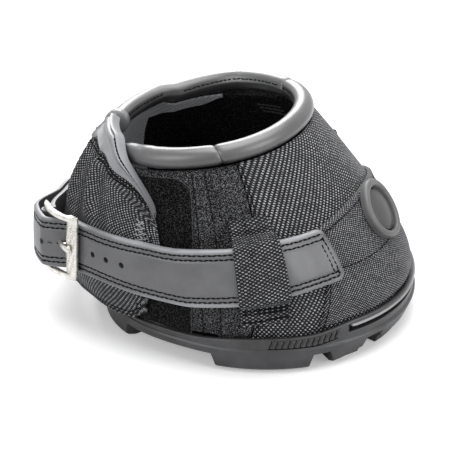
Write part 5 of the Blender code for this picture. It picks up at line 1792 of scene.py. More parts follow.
        # painted shade along the pleats' creases, kept as the fold attribute
        Workshop.mark(nylon, "fold", fold)
        Workshop.bend_with_flap(nylon)
        self.add_lining()
        self.add_binding()
        self.add_stitches()
        mesh = Cloth.panel(steps(*self.hook_turns, 24), steps(0.0, 1.0, 24), lambda a: self.hook_rises[0],
                           lambda a: self.hook_rises[1], lambda a, s: LAYERS.hook_in,
                           lambda a, s: LAYERS.hook_in + self.hook_thickness)
        Workshop.sheet(self.hook, mesh)
        self.add_wrap()

    def on_crease(self, crease: Bell, rise: float) -> Vector:
        """Point of a crease of painted shade, which slopes as the pleats do."""
        return FORM.place(crease.middle - self.fold_slope * (rise - self.fold_middle), rise, LAYERS.flap_out)

    def add_wrap(self) -> None:
        """Leather of the binding folded over the end of the flap's padded collar."""
        collar = Collar()
        start = self.roll_end - self.wrap_run

        def corner(degrees: float, share: float, is_outer: bool) -> Vector:
            """Point of the wrap, which a dome closes behind."""
            middle, out, up, _ = collar.middle(degrees)
            turn = math.radians(between(*self.wrap_turns, share))
            past = max(degrees - self.roll_end, 0.0) / self.wrap_dome
            closing = math.sqrt(max(1.0 - past * past, 0.01))
            edge = edge_drop((degrees - start) * collar.end_run, 0.0007)
            lift = self.wrap_offsets[is_outer] - edge * is_outer
            return (middle + out * ((collar.half_depth + lift) * closing * math.cos(turn))
                    + up * ((collar.half_height + lift) * closing * math.sin(turn)))

        columns = crowded(start, self.roll_end + self.wrap_dome, 16, 0.8)
        mesh = Cloth.lay(columns, steps(0.0, 1.0, 28), corner)
        Workshop.finish("collar_end_wrap", mesh, "binding", "flap", (), "binding_leather", 60.0)

    def add_lining(self) -> None:
        """Woven padding inside the flap."""
        foot, head = self.lining_rises

        def outer(degrees: float, share: float) -> float:
            """Offset of the face that lies on the nylon."""
            low = self.low(degrees)
            on_flap = (between(low + foot, head, share) - low) / (self.top(degrees) - low)
            return self.inner(degrees, on_flap) - FORM.clearance - edge_drop(share * 0.07, 0.001)

        mesh = Cloth.panel(steps(*self.lining_turns, 40), steps(0.0, 1.0, 30), lambda a: self.low(a) + foot,
                           lambda a: head, lambda a, s: outer(a, s) - self.lining_thickness, outer)
        Workshop.bend_with_flap(Workshop.sheet(self.lining, mesh))

    def binding_low(self, degrees: float) -> float:
        """Lower edge of the binding: wide at the heel's top, narrow at the front."""
        return self.top(degrees) - self.binding_drop.at(degrees) * self.binding_tip.at(degrees)

    def over(self, degrees: float, share: float) -> float:
        """Lift of the binding over the pleats under it."""
        return self.pleat(degrees, between(self.binding_low(degrees), self.top(degrees), share))

    def add_binding(self) -> None:
        """Leather binding: a crescent at the top that narrows down the front edge."""
        start, base = self.binding_start, LAYERS.flap_out + FORM.clearance * 0.5

        def outer(degrees: float, share: float) -> float:
            """Offset of the outer face: crowned, with ridges along it."""
            band = sum(ridge.at(share) for ridge in self.ridges)
            crown = 0.0009 * math.sin(math.pi * share) ** 0.6
            drop = edge_drop(share * 0.012, 0.0008) + edge_drop((1.0 - share) * 0.012, 0.0012)
            rear = edge_drop((degrees - start) * DEGREE_RUN, 0.001)
            front = edge_drop((self.end - degrees) * FRONT_RUN, 0.001)
            return base + 0.001 + band + crown - drop - rear - front + self.over(degrees, share)

        def inner(degrees: float, share: float) -> float:
            """Offset of the inner face, which folds over the edge of the nylon."""
            wrapped = (base - LAYERS.flap_in + 0.0006) * self.wrapped.at(share)
            return base - 0.0003 - wrapped + self.over(degrees, share) * 0.9

        mesh = Cloth.panel(crowded(start, self.end, 90, 1.0), crowded(0.0, 1.0, 24, 0.08), self.binding_low,
                           lambda a: self.top(a) + self.binding_over, inner, outer, self.lean)
        Workshop.sheet(self.binding, mesh)

    def add_stitches(self) -> None:
        """Rows under and on the binding, a pale tack at the front, and the front and lower hems."""
        cloth = LAYERS.flap_out
        columns = steps(self.binding_start + 3.0, self.end - 1.5, 150)
        paths = [[self.spot(a, self.binding_low(a) - below, cloth) for a in columns]
                 for below in (0.018, 0.034)]
        paths.append([self.spot(a, between(self.binding_low(a), self.top(a), 0.9),
                                cloth + FORM.clearance * 0.5 + 0.0016 + self.over(a, 0.9))
                      for a in columns if a > 236.0])
        THREAD.sew("binding_stitches", paths, 1.35, "flap")
        zigzag = [self.spot(self.end - (3.4 if k % 2 else 6.2), t, cloth)
                  for k, t in enumerate(steps(0.56, 0.75, 14))]
        THREAD.sew("flap_tack_stitches", [zigzag], 0.8, "flap", "pale_thread")
        rows = steps(self.low(266.0) + 0.02, 0.76, 90)
        columns = steps(self.root + 16.0, self.end - 2.0, 200)
        paths = [[self.spot(self.end - gap, t, cloth - 0.0001) for t in rows] for gap in (1.6, 3.0)]
        paths += [[self.spot(a, self.low(a) + rise, cloth) for a in columns] for rise in (0.03, 0.055)]
        THREAD.sew("flap_hem_stitches", paths, 1.0, "flap")

    def spot(self, degrees: float, rise: float, offset: float) -> Spot:
        """Point on the flap and the normal there."""
        lift = self.pleat(degrees, rise) + self.hang(degrees, rise)
        return FORM.spot(self.lean(degrees, rise), rise, offset + lift)


@dataclass
class Belt:
    """Leather belt of two sewn layers, from the toe band back to the buckle on both sides."""

    end_width: float = 0.027
    corner: float = 0.004
    thickness: float = 0.0034
    buckle_thickness: float = 0.0028
    tip_thickness: float = 0.0024
    start: float = 29.0
    far_start: float = 58.0
    far_in: float = 0.0004
    end_run: float = 16.0
    end_columns: Values = (0.0, 0.12, 0.4, 0.8, 1.4, 2.2, 3.0)
    tip_root: float = -116.0
    near_bar: float = -123.0
    heel_bar: float = -144.0
    tip_end: float = -180.0
    tip_length: float = 0.012
    stand: float = 0.0042
    eye_radius: float = 0.00425
    eye_wall: float = 0.0015
    edge: float = 0.0011
    stitch_in: Pair = (0.0027, 0.005)
    groove_shape: Pair = (0.00035, 0.0005)
    pillow: Bell = Bell(0.0015, 0.0009, 0.0003)
    inner_rise: Ease = Ease(0.004, 0.0065, -0.0004, -0.0001)
    crown: float = 0.0004
    hole_pitch: float = 0.0078
    hole_radius: float = 0.0015
    slit_holes: tuple[Values, ...] = ((7.4, 0.0034, 0.0005), (4.8, 0.0024, 0.002))
    thread_scale: float = 1.15

    @property
    def bar_offset(self) -> float:
        """Offset of the heel bar's middle."""
        return LAYERS.strap_in + self.stand + self.eye_radius

    @property
    def far_end(self) -> float:
        """Angle of the heel bar, counted on round the far side."""
        return self.heel_bar + FULL_TURN

    def first(self, degrees: float) -> float:
        """Angle from the toe at which the belt of that side starts."""
        return self.start if degrees < 0.0 else self.far_start

    def from_end(self, degrees: float) -> float:
        """Distance from the sewn end."""
        return (abs(degrees) - self.first(degrees)) * FORM.round_speed(degrees, 0.55)

    def breadth(self, degrees: float) -> float:
        """Width of a belt: rounded corners in front, and a tongue behind on the near side."""
        if degrees <= self.tip_root:
            left = (degrees - self.tip_end) * FORM.round_speed(degrees, 0.5)
            missing = max(0.0, 1.0 - left / self.tip_length)
            return FORM.strap_width(degrees) * (0.1 + 0.9 * math.sqrt(max(0.0, 1.0 - missing * missing)))
        turn, first = abs(degrees), self.first(degrees)
        missing = max(0.0, self.corner - self.from_end(degrees)) if turn < first + self.end_run else 0.0
        cut = self.corner - math.sqrt(max(0.0, self.corner ** 2 - missing ** 2))
        wider = smooth_step(turn, first + 11.0, first + 42.0)
        return self.end_width - 2.0 * cut + (FORM.strap_width(degrees) - self.end_width) * wider

    def base(self, degrees: float) -> float:
        """Offset of the near belt's inner face: under the near bar, over the eye, then on the strap."""
        turn, strap = abs(degrees), LAYERS.strap_in
        if degrees > self.tip_root:
            return between(LAYERS.sewn_in, strap, smooth_step(turn, self.start + 9.0, self.start + 21.0))
        over_eye = self.bar_offset + Buckle.bar_radius + self.eye_wall + 0.0009
        on_strap = strap + self.buckle_thickness + 0.0008
        climb = smooth_step(turn, -self.near_bar + 2.8, -self.heel_bar - 9.0)
        fall = smooth_step(turn, -self.heel_bar + 4.0, -self.heel_bar + 22.0)
        return strap + (over_eye - strap) * climb + (on_strap - over_eye) * fall

    def far_base(self, degrees: float) -> float:
        """Offset of the far belt's inner face, which rises to the buckle's bar."""
        sewn = smooth_step(degrees, self.far_start + 9.0, self.far_start + 21.0)
        rise = self.stand * smooth_step(degrees, self.far_end - 22.0, self.far_end - 3.0)
        return between(self.far_in, LAYERS.strap_in, sewn) + rise

    def thick(self, degrees: float) -> float:
        """Thickness of a belt, which is one layer at the near one's free end."""
        if degrees > 0.0:
            return self.buckle_thickness
        thinned = smooth_step(-degrees, -self.near_bar, -self.near_bar + 9.0)
        return between(self.thickness, self.tip_thickness, thinned)

    def relief(self, across: float, wide: float, thick: float) -> float:
        """Offset of the outer face above the inner one: crowned, let down at the stitching and edges."""
        to_edge = wide * 0.5 - abs(across)
        depth, width = self.groove_shape
        groove = sum(Bell(line, width, depth).at(to_edge) for line in self.stitch_in)
        crown = self.crown * math.cos(math.pi * across / max(wide, 0.004))
        shape = self.pillow.at(to_edge) + self.inner_rise.at(to_edge) + crown
        return thick - groove + shape - edge_drop(to_edge, self.edge)

    def build(self) -> None:
        """Near belt with holes, far belt that ends at the buckle's bar, and the stitching."""
        columns = sorted([-self.start - a for a in self.end_columns] + [self.tip_end]
                         + steps(-self.start - 3.6, self.tip_end + 0.4, 190))
        near = self.strip("belt_near", columns, self.base, ("strap_end_near", "strap_side", "strap_tip"))
        self.punch(near)
        self.wear(near)
        Workshop.bend(near, *self.near_bend())
        columns = [self.far_start + a for a in self.end_columns]
        columns += steps(self.far_start + 3.6, self.far_end, 150)
        nodes = ("strap_end_far", "strap_far_side", "buckle_strap")
        far = self.strip("belt_far", columns, self.far_base, nodes)
        self.wear(far)
        Workshop.bend_with_flap(far)
        self.sew_belts()

    def strip(self, name: str, columns: Sequence[float], base: Edge, nodes: Sequence[str]) -> Piece:
        """Belt along angles, its inner face at an offset."""
        def corner(degrees: float, share: float, is_outer: bool) -> Vector:
            """Point of the belt."""
            wide = self.breadth(degrees)
            across = wide * (share - 0.5)
            run = self.from_end(degrees) if abs(degrees) < self.first(degrees) + self.end_run else 1.0
            relief = self.relief(across, wide, self.thick(degrees)) - edge_drop(run, self.edge)
            return FORM.strap_point(degrees, across, base(degrees) + relief * is_outer)

        mesh = Cloth.lay(columns, crowded(0.0, 1.0, 40, 0.04), corner)
        return Workshop.finish(name, mesh, "belt", "root", nodes, "strap_leather", 60.0)

    @staticmethod
    def wear(piece: Piece) -> None:
        """Paler skin along the belt's edges, for wear and as a painted highlight."""
        half = FORM.belt_width * 0.5
        Workshop.mark(piece, "edge", lambda _, flat: 1.0 - smooth_step(half - abs(flat.y), 0.0, 0.003))

    @staticmethod
    def near_bend() -> tuple[str, str, Vector, Vector]:
        """Bodies of the near belt, and where it leaves the keeper and is all loose strap."""
        return "root", "near_strap", FORM.strap_point(-67.0, 0.0, 0.007), FORM.strap_point(-75.0, 0.0, 0.007)

    def punch(self, piece: Piece) -> None:
        """Punch the holes, and the slit that the prong stands in, through the belt."""
        speed, radius = FORM.round_speed(self.tip_root, 0.5), self.hole_radius
        first, pitch = self.tip_root + radius * 2.0 / speed, self.hole_pitch / speed
        holes = [first, first + pitch, first + 2.0 * pitch, self.heel_bar + 9.5]
        sizes = [(turn, radius, radius) for turn in holes]
        sizes += [(self.near_bar - gap, *size) for gap, *size in self.slit_holes]
        punches = []
        for degrees, half_run, half_side in sizes:
            punch = Workshop.add("punch", self.post(degrees, half_run, half_side))
            cut = piece.modifiers.new("hole", "BOOLEAN")
            cut.object, cut.operation, cut.solver = punch, "DIFFERENCE", "EXACT"
            punches.append(punch)
        graph = bpy.context.evaluated_depsgraph_get()
        piece.data = bpy.data.meshes.new_from_object(piece.evaluated_get(graph))
        piece.modifiers.clear()
        for punch in punches:
            bpy.data.objects.remove(punch)

    @staticmethod
    def post(degrees: float, half_run: float, half_side: float) -> Mesh:
        """Oval post through the belt."""
        mesh = bmesh.new()
        base = FORM.strap_point(degrees, 0.0, LAYERS.strap_in + 0.004)
        _, normal, round_wall, up = FORM.frame(degrees, FORM.strap_rise(degrees))
        turn = Matrix((round_wall, up, normal)).transposed().to_4x4()
        size = Matrix.Diagonal((half_run, half_side, 0.03, 1.0))
        bmesh.ops.create_cone(mesh, cap_ends=True, segments=20, radius1=1.0, radius2=1.0, depth=1.0,
                              matrix=Matrix.Translation(base) @ turn @ size)
        return mesh

    def row(self, columns: Sequence[float], base: Edge, inset: float, sign: float) -> list[Spot]:
        """Path of one stitch row, at an inset from an edge."""
        path = []
        for degrees in columns:
            wide = self.breadth(degrees)
            across = sign * (wide * 0.5 - inset)
            offset = base(degrees) + self.relief(across, wide, self.thick(degrees)) + 0.0002
            normal = FORM.frame(degrees, FORM.strap_rise(degrees, across))[1]
            path.append((FORM.strap_point(degrees, across, offset), normal))
        return path

    def sew_belts(self) -> None:
        """Double rows along both edges of every stretch of belt, and across the sewn ends."""
        near_bend, far_bend = self.near_bend(), ("root", "flap", *Flap.bend_points())
        for name, bend, columns, base in (
                ("near_end", None, steps(-31.5, -59.8, 60), self.base),
                ("near_side", near_bend, steps(-60.2, -140.0, 160), self.base),
                ("near_tip", near_bend, steps(-140.5, self.tip_end + 4.0, 80), self.base),
                ("far_end", None, steps(60.5, 125.0, 130), self.far_base),
                ("far_side", far_bend, steps(125.3, self.far_end - 4.0, 130), self.far_base)):
            rows = [self.row(columns, base, inset, sign) for inset in self.stitch_in for sign in (-1.0, 1.0)]
            sewn = THREAD.sew(f"belt_stitches_{name}", rows, self.thread_scale)
            if bend:
                Workshop.bend(sewn, *bend)
        for side, first, base in ((Side.NEAR, self.start, LAYERS.sewn_in),
                                  (Side.FAR, self.far_start, self.far_in)):
            rows = []
            for inset, half in ((2.2, 0.0095), (3.9, 0.0075)):
                degrees = side.value * (first + inset)
                lift = base + self.relief(0.0, self.end_width, self.thick(degrees)) - 0.0002
                normal = FORM.frame(degrees, 0.55)[1]
                rows.append([(FORM.strap_point(degrees, across, lift), normal)
                             for across in steps(-half, half, 20)])
            THREAD.sew(f"belt_end_rows_{side.word}", rows, self.thread_scale)


@dataclass
class Keeper:
    """Coarse webbing loop over the belt, folded at the top and sewn down at both feet."""

    near_angles: Pair = (50.0, 66.5)
    far_angles: Pair = (71.0, 87.5)
    lean: float = 12.0
    reach: Pair = (-0.0305, 0.025)
    standing: Ease = Ease(0.0138, 0.0193, 1.0, 0.0)
    thickness: float = 0.0016
    edge: float = 0.0008
    fold: Bell = Bell(0.0207, 0.0016, 0.0009)
    under_fold: Bell = Bell(0.0178, 0.0011, 0.0011)
    crease_ahead: float = 2.6
    crease: Bell = Bell(0.0, 0.45, 0.0007)
    crease_starts: Ease = Ease(0.3, 0.6)
    stitch_rows: Values = (-0.0275, -0.0225, -0.0205, 0.0222)

    def offset(self, above: float) -> float:
        """Offset of the inner face: on the wall at the feet, and off the belt between them."""
        return between(FORM.clearance, LAYERS.keeper_in, self.standing.at(abs(above)))

    def leaned(self, side: Side, degrees: float, above: float) -> Pair:
        """Angle and rise of a point of the leaning webbing."""
        rise = FORM.strap_rise(degrees, above)
        return side.value * (abs(degrees) - self.lean * (rise - 0.5)), rise

    def relief(self, angles: Pair, turn: float, share: float, above: float, raised: float) -> float:
        """Height of the outer face over the inner one.

        Args:
            angles: Angles of the webbing's two edges.
            turn: Angle of the point from the toe.
            share: Its share of the way up the webbing.
            above: Its place above the belt's middle.
            raised: Share of the way from the wall out to the belt.

        Returns:
            The height.
        """
        run = min(abs(turn - angle) for angle in angles) * DEGREE_RUN
        crease = self.crease.at(turn - sum(angles) * 0.5 - self.crease_ahead) * self.crease_starts.at(share)
        fold = self.fold.at(above) - self.under_fold.at(above) * (1.0 - raised)
        return self.thickness - edge_drop(run, self.edge) + fold - crease

    def build(self) -> None:
        """Webbing on both sides, with its fold and its stitched feet."""
        for side in Side:
            angles = self.near_angles if side is Side.NEAR else self.far_angles

            def corner(degrees: float, share: float, is_outer: bool) -> Vector:
                """Point of the webbing, on the wall at its feet and over the belt between them."""
                above = between(*self.reach, share)
                offset = self.offset(above)
                turn, rise = self.leaned(side, degrees, above)
                raised = smooth_step(offset, FORM.clearance, LAYERS.keeper_in)
                if is_outer:
                    offset += self.relief(angles, abs(degrees), share, above, raised)
                return FORM.place(turn, rise, offset).lerp(FORM.strap_point(turn, above, offset), raised)

            start, end = (side.value * angle for angle in angles)
            mesh = Cloth.lay(crowded(start, end, 30, 0.5), crowded(0.0, 1.0, 70, 0.014), corner)
            Workshop.sheet(Cut(f"keeper_webbing_{side.word}", "webbing", f"keeper_{side.word}", "webbing",
                               (0.029, 0.062), ("vamp_panel",), "root", 60.0), mesh)
            columns = steps(start + side.value, end - side.value, 24)
            paths = [[FORM.spot(*self.leaned(side, a, above), self.offset(above) + self.thickness)
                      for a in columns] for above in self.stitch_rows]
            THREAD.sew(f"keeper_stitches_{side.word}", paths, 1.3)


@dataclass
class Badge:
    """Round rubber badge on the toe: raised ring and a plain domed disc."""

    radius: float = 0.0149
    ring: float = 0.0034
    ring_wall: float = 0.0024
    ring_crown: float = 0.0018
    angle: float = 8.0
    rise: float = 0.62
    hub: float = 0.0003
    disc_gap: float = 0.0009
    disc_shape: tuple[Pair, ...] = ((0.97, 0.0021), (0.95, 0.0018), (0.9, 0.0018), (0.86, 0.0022),
                                    (0.6, 0.0025), (0.3, 0.0027))

    def turned(self, name: str, profile: Sequence[Pair], finish: str, node: str, slot: str) -> None:
        """Round piece with a profile of radius and height.

        Args:
            name: Name of the piece.
            profile: Radius and height of each point.
            finish: Its finish.
            node: Node that it stands for.
            slot: Slot of the record.
        """
        def corner(degrees: float, number: int) -> Vector:
            """Point of the badge, on the toe band."""
            radius, height = profile[number % len(profile)]
            across, up = circle(degrees / FULL_TURN)
            return FORM.place(self.angle + radius * across / FORM.round_speed(self.angle, self.rise),
                              self.rise + radius * up / FORM.rise_speed(self.angle, self.rise),
                              LAYERS.overlay_out + FORM.clearance + height)

        is_open = profile[0][0] > self.hub
        mesh = Cloth.turned(steps(0.0, FULL_TURN, 72), len(profile) + is_open, corner)
        Workshop.finish(name, mesh, finish, "root", (node,), slot, 45.0)

    def build(self) -> None:
        """Ring and disc."""
        half, inner = self.ring * 0.5, self.radius - self.ring
        ring = [(inner, 0.0), (self.radius, 0.0)]
        for turn in steps(0.0, math.pi, 10):
            crown = self.ring_crown * abs(math.sin(turn)) ** 0.8
            ring.append((self.radius - half + half * math.cos(turn), self.ring_wall + crown))
        self.turned("badge_ring", ring, "ring", "badge_rim", "badge_ring")
        edge = inner - self.disc_gap
        disc = [(self.hub, 0.0), (edge, 0.0), (edge, 0.0016), (edge - 0.0005, 0.0021),
                *[(edge * share, height) for share, height in self.disc_shape], (self.hub, 0.0027)]
        self.turned("badge_dome", disc, "disc", "badge_disc", "badge_centre")


@dataclass(frozen=True)
class Axes:
    """A bar's middle and three directions square to each other."""

    middle: Vector
    ahead: Vector
    out: Vector
    up: Vector

    def at(self, ahead: float = 0.0, out: float = 0.0, up: float = 0.0) -> Vector:
        """Point at distances along the directions."""
        return self.middle + self.ahead * ahead + self.out * out + self.up * up

    def round(self, degrees: float, radius: float, up: float) -> Vector:
        """Point at a radius, turned from ahead to out, and a distance up."""
        ahead, out = circle(degrees / FULL_TURN)
        return self.at(radius * ahead, radius * out, up)

    def measure(self, place: Vector) -> tuple[float, float, float]:
        """Distances of a place along the directions."""
        way = place - self.middle
        return way.dot(self.ahead), way.dot(self.out), way.dot(self.up)


@dataclass
class Buckle:
    """Cast frame with a round heel bar, bowed arms and a broad dotted near bar, and its prong."""

    belt: Belt
    bar_radius: float = 0.00175
    near_width: float = 0.009
    near_thickness: float = 0.003
    near_room: float = 0.0009
    near_crown: float = 0.0004
    arm_thickness: float = 0.0028
    arm_depth: float = 0.0036
    arm_bow: float = 0.0035
    side_room: float = 0.0008
    prong_thickness: float = 0.0024
    prong_width: float = 0.0034
    prong_bead: Bell = Bell(0.9, 0.07, 0.3)
    prong_tip: float = 0.12
    ring_room: float = 0.0003
    ring_wall: float = 0.0016
    dots_out: Ease = Ease(0.0006, 0.0012)
    dots_ahead: Ease = Ease(0.0034, 0.0041, 1.0, 0.0)

    @staticmethod
    def towards(line: Vector, way: Vector) -> Vector:
        """The line, turned round where it points against a way."""
        return line if line.dot(way) > 0.0 else -line

    def axes(self) -> tuple[Axes, Axes]:
        """Axes at the heel bar, and at the near bar, which lies flat on the belt."""
        belt = self.belt
        heel_point, heel_normal, _, heel_up = FORM.frame(belt.heel_bar, FORM.strap_rise(belt.heel_bar))
        near_point, near_normal, _, near_up = FORM.frame(belt.near_bar, FORM.strap_rise(belt.near_bar))
        heel = heel_point + heel_normal * belt.bar_offset
        near = near_point + near_normal * (LAYERS.strap_out + self.near_room + self.near_thickness * 0.5)
        ahead = (near - heel).normalized()
        up = heel_up + near_up
        up = (up - ahead * up.dot(ahead)).normalized()
        out = self.towards(up.cross(ahead), heel_normal)
        along = self.towards(near_normal.cross(up).normalized(), ahead)
        return Axes(heel, ahead, out, up), Axes(near, along, self.towards(up.cross(along), out), up)

    def build(self) -> None:
        """Frame, prong and the belt's folded eye."""
        heel, near = self.axes()
        self.add_frame(heel, near)
        self.add_prong(heel, near)
        self.add_eye(heel)

    def add_frame(self, heel: Axes, near: Axes) -> None:
        """Two bars, and the arms that join them."""
        half = FORM.buckle_belt_width * 0.5 + self.side_room
        reach = half + self.arm_thickness
        run = (near.middle - heel.middle).length
        mesh = bmesh.new()

        def bar(height: float, turn: float) -> Vector:
            """Point of the near bar, flat and slimmer at its ends."""
            share = abs(height) / reach
            ahead, out = circle(turn)
            wide = self.near_width * 0.5 * (1.0 - 0.22 * share ** 3)
            thick = self.near_thickness * 0.5 * (1.0 - 0.1 * share ** 4)
            crown = self.near_crown * (1.0 - share)
            return near.at(wide * squared(ahead, 0.45), thick * squared(out, 0.6) + crown, height)

        def pin(height: float, turn: float) -> Vector:
            """Point of the heel bar, which ends inside the arms."""
            return heel.round(turn * FULL_TURN, self.bar_radius, height)

        Workshop.join(mesh, Cloth.tube(crowded(-reach, reach, 26, 0.0008), 40, bar))
        Workshop.join(mesh, Cloth.tube(steps(-half - 0.001, half + 0.001, 12), 20, pin))
        for sign in (1.0, -1.0):
            def arm(share: float, turn: float) -> Vector:
                """Point of an arm, bowed outwards."""
                side, out = circle(turn)
                wide = self.arm_thickness * 0.5
                tall = self.arm_depth * 0.5 * (0.62 + 0.38 * math.sin(math.pi * share) ** 0.6)
                tall *= math.sqrt(max(0.02, 1.0 - (2.0 * abs(share - 0.5)) ** 14))
                return heel.at(between(-self.arm_depth * 0.5, run + self.near_width * 0.3, share),
                               self.arm_bow * math.sin(math.pi * share) + tall * squared(out, 0.6),
                               sign * (half + wide) + wide * squared(side, 0.6))

            Workshop.join(mesh, Cloth.tube(crowded(0.0, 1.0, 30, 0.03), 24, arm))

        def dots(place: Vector, _: Vector) -> float:
            """Share of the dotted field on the near bar's face."""
            ahead, out, up = near.measure(place)
            inside = 1.0 - smooth_step(abs(up), half - 0.002, half)
            return self.dots_out.at(out) * self.dots_ahead.at(abs(ahead)) * inside

        frame = Workshop.finish("buckle_casting", mesh, "metal", "buckle", ("buckle_frame",), "buckle_metal",
                                50.0)
        Workshop.mark(frame, "dots", dots)

    def add_prong(self, heel: Axes, near: Axes) -> None:
        """Prong that turns on the heel bar and lies on the near bar, with a rounded tip."""
        wide, thick = self.near_width * 0.5, self.near_thickness * 0.5
        lift, wall = self.prong_thickness * 0.5, self.ring_wall * 0.5
        ring_middle = self.bar_radius + self.ring_room + wall
        points = [heel.at(ring_middle * 0.8, ring_middle * 0.6),
                  heel.at((near.middle - heel.middle).length * 0.42, lift),
                  near.at(-wide - 0.0022, thick + lift * 0.6),
                  near.at(-wide * 0.2, thick + lift + 0.0006),
                  near.at(wide * 0.4, thick + lift * 0.8 + 0.0004)]
        last = len(points) - 1

        def blade(share: float, turn: float) -> Vector:
            """Point of the blade, along a smooth curve through the points."""
            k = min(int(share * last), last - 1)
            t = share * last - k
            before, first, second, after = (points[min(max(k + step, 0), last)] for step in (-1, 0, 1, 2))
            bend = before * 2.0 - first * 5.0 + second * 4.0 - after
            twist = first * 3.0 - before - second * 3.0 + after
            middle = (first * 2.0 + (second - before) * t + bend * t * t + twist * t ** 3) * 0.5
            to_tip = max(0.0, (share - 1.0 + self.prong_tip) / self.prong_tip)
            full = math.sqrt(max(0.03, 1.0 - to_tip ** 2))
            side, out = circle(turn)
            side *= self.prong_width * 0.5 * full * (1.0 + self.prong_bead.at(share))
            return middle + heel.up * side + heel.out * (out * lift * full * between(1.0, 0.85, share))

        def ring(degrees: float, turn: float) -> Vector:
            """Point of the ring on the heel bar."""
            out, up = circle(turn)
            half = self.prong_width * 0.5
            return heel.round(degrees, ring_middle + wall * squared(out, 0.7), half * squared(up, 0.7))

        mesh = bmesh.new()
        Workshop.join(mesh, Cloth.tube(crowded(0.0, 1.0, 36, 0.03), 16, blade))
        Workshop.join(mesh, Cloth.tube(steps(0.0, FULL_TURN, 32), 16, ring))
        Workshop.finish("prong_tongue", mesh, "metal", "prong", ("prong",), "buckle_metal", 50.0)

    def add_eye(self, heel: Axes) -> None:
        """Leather folded round the heel bar, in two tongues beside the prong."""
        half = FORM.buckle_belt_width * 0.5 - 0.0006
        notch = self.prong_width * 0.5 + 0.001
        reach, thick = (half - notch) * 0.5, self.belt.eye_wall * 0.5
        middle = self.bar_radius + self.ring_room + thick
        mesh = bmesh.new()
        for sign in (1.0, -1.0):
            def tongue(degrees: float, turn: float) -> Vector:
                """Point of a tongue."""
                out, side = circle(turn)
                return heel.round(degrees, middle + thick * squared(out, 0.5),
                                  sign * (notch + reach) + reach * squared(side, 0.25))

            Workshop.join(mesh, Cloth.tube(steps(0.0, FULL_TURN, 48), 32, tongue))
        eye = Workshop.finish("belt_far_eye", mesh, "belt", "flap", (), "strap_leather", 50.0)
        # paler sides of the eye: wear, and a painted highlight
        Workshop.mark(eye, "edge",
                      lambda place, _: smooth_step(abs(heel.measure(place)[2]), half - 0.0015, half))


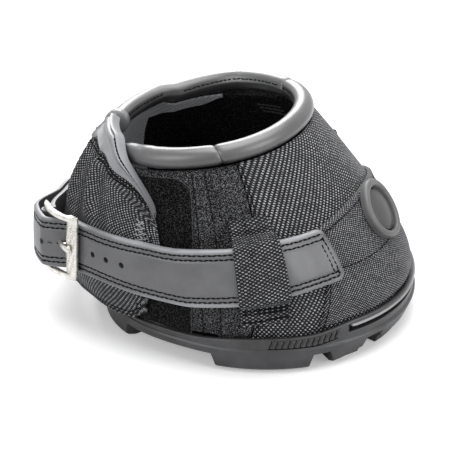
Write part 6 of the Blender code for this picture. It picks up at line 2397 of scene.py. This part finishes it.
@dataclass
class Studio:
    """Pale floor, soft lights and the camera."""

    azimuth: float = 25.5
    elevation: float = 29.0
    distance: float = 0.9
    target: Values = (0.0, 0.0, 0.0524)
    focal_px: float = 1749.6
    frame_px: float = 450.0
    centre_px: Pair = (248.8, 201.5)
    sensor_width: float = 36.0
    floor_size: float = 6.0
    floor_glow: float = 0.28
    world_light: Pair = (0.62, 0.38)
    lamps: tuple[tuple[str, Values, float, float], ...] = (
        ("overhead", (0.05, 0.1, 0.9), 0.8, 7.5), ("back", (-0.5, 0.75, 0.6), 0.55, 7.0),
        ("right", (0.9, -0.1, 0.45), 0.5, 3.0), ("front", (-0.35, -1.0, 0.6), 0.6, 3.4))

    def build(self) -> None:
        """Floor, world, lamps and camera."""
        self.add_floor()
        self.add_world()
        for name, place, size, power in self.lamps:
            light = bpy.data.lights.new(name, "AREA")
            light.size, light.energy = size, power
            aim = Vector(self.target) - Vector(place)
            self.put(name, light, Vector(place), aim)
        self.add_camera()

    @staticmethod
    def put(name: str, data: bpy.types.ID, place: Vector, aim: Vector) -> Piece:
        """Lamp or camera at a place, aimed along a way."""
        item = bpy.data.objects.new(name, data)
        item.location = place
        item.rotation_euler = aim.to_track_quat("-Z", "Y").to_euler()
        bpy.context.scene.collection.objects.link(item)
        return item

    def add_floor(self) -> None:
        """Large pale floor that the camera sees as white, apart from the shadow."""
        mesh = bmesh.new()
        bmesh.ops.create_grid(mesh, x_segments=1, y_segments=1, size=self.floor_size)
        floor = Workshop.add("floor", mesh)
        made = bpy.data.materials.new("floor_paper")
        made.use_nodes = True
        inputs = made.node_tree.nodes["Principled BSDF"].inputs
        inputs["Base Color"].default_value = (0.86, 0.86, 0.87, 1.0)
        inputs["Roughness"].default_value = 0.6
        inputs["Specular IOR Level"].default_value = 0.2
        inputs["Emission Color"].default_value = (1.0, 1.0, 1.0, 1.0)
        canvas = NodeCanvas(made.node_tree)
        seen = canvas.add("ShaderNodeLightPath").outputs["Is Camera Ray"]
        canvas.tree.links.new(canvas.math("MULTIPLY", seen, self.floor_glow), inputs["Emission Strength"])
        floor.data.materials.append(made)

    def add_world(self) -> None:
        """Soft even light, white where the camera or a reflection looks past the floor."""
        world = bpy.data.worlds.new("studio")
        bpy.context.scene.world = world
        world.use_nodes = True
        canvas = NodeCanvas(world.node_tree)
        inputs = world.node_tree.nodes["Background"].inputs
        rays = canvas.add("ShaderNodeLightPath").outputs
        seen = canvas.math("MAXIMUM", rays["Is Camera Ray"], rays["Is Glossy Ray"])
        seen = canvas.math("MAXIMUM", seen, rays["Is Transmission Ray"])
        inputs["Color"].default_value = (1.0, 1.0, 1.0, 1.0)
        canvas.tree.links.new(canvas.math("MULTIPLY_ADD", seen, *self.world_light), inputs["Strength"])

    def add_camera(self) -> None:
        """Camera at the photograph's angle and framing."""
        turn, lift = math.radians(self.azimuth), math.radians(self.elevation)
        back = Vector((math.sin(turn) * math.cos(lift), -math.cos(turn) * math.cos(lift), math.sin(lift)))
        data = bpy.data.cameras.new("camera")
        data.sensor_fit, data.sensor_width = "HORIZONTAL", self.sensor_width
        data.lens = self.focal_px / self.frame_px * data.sensor_width
        data.shift_x = (self.frame_px * 0.5 - self.centre_px[0]) / self.frame_px
        data.shift_y = (self.centre_px[1] - self.frame_px * 0.5) / self.frame_px
        bpy.context.scene.camera = self.put("camera", data, Vector(self.target) + back * self.distance, -back)


def main() -> None:
    """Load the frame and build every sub-assembly."""
    logging.basicConfig(level=logging.INFO, format="%(message)s")
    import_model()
    Studio().build()
    belt = Belt()
    for assembly in (Sole(), Upper(), Collar(), Flap(), belt, Keeper(), Badge(), Buckle(belt)):
        LOG.info("building %s", type(assembly).__name__)
        assembly.build()
    bpy.context.scene.view_settings.view_transform = "Standard"


if __name__ == "__main__":
    main()
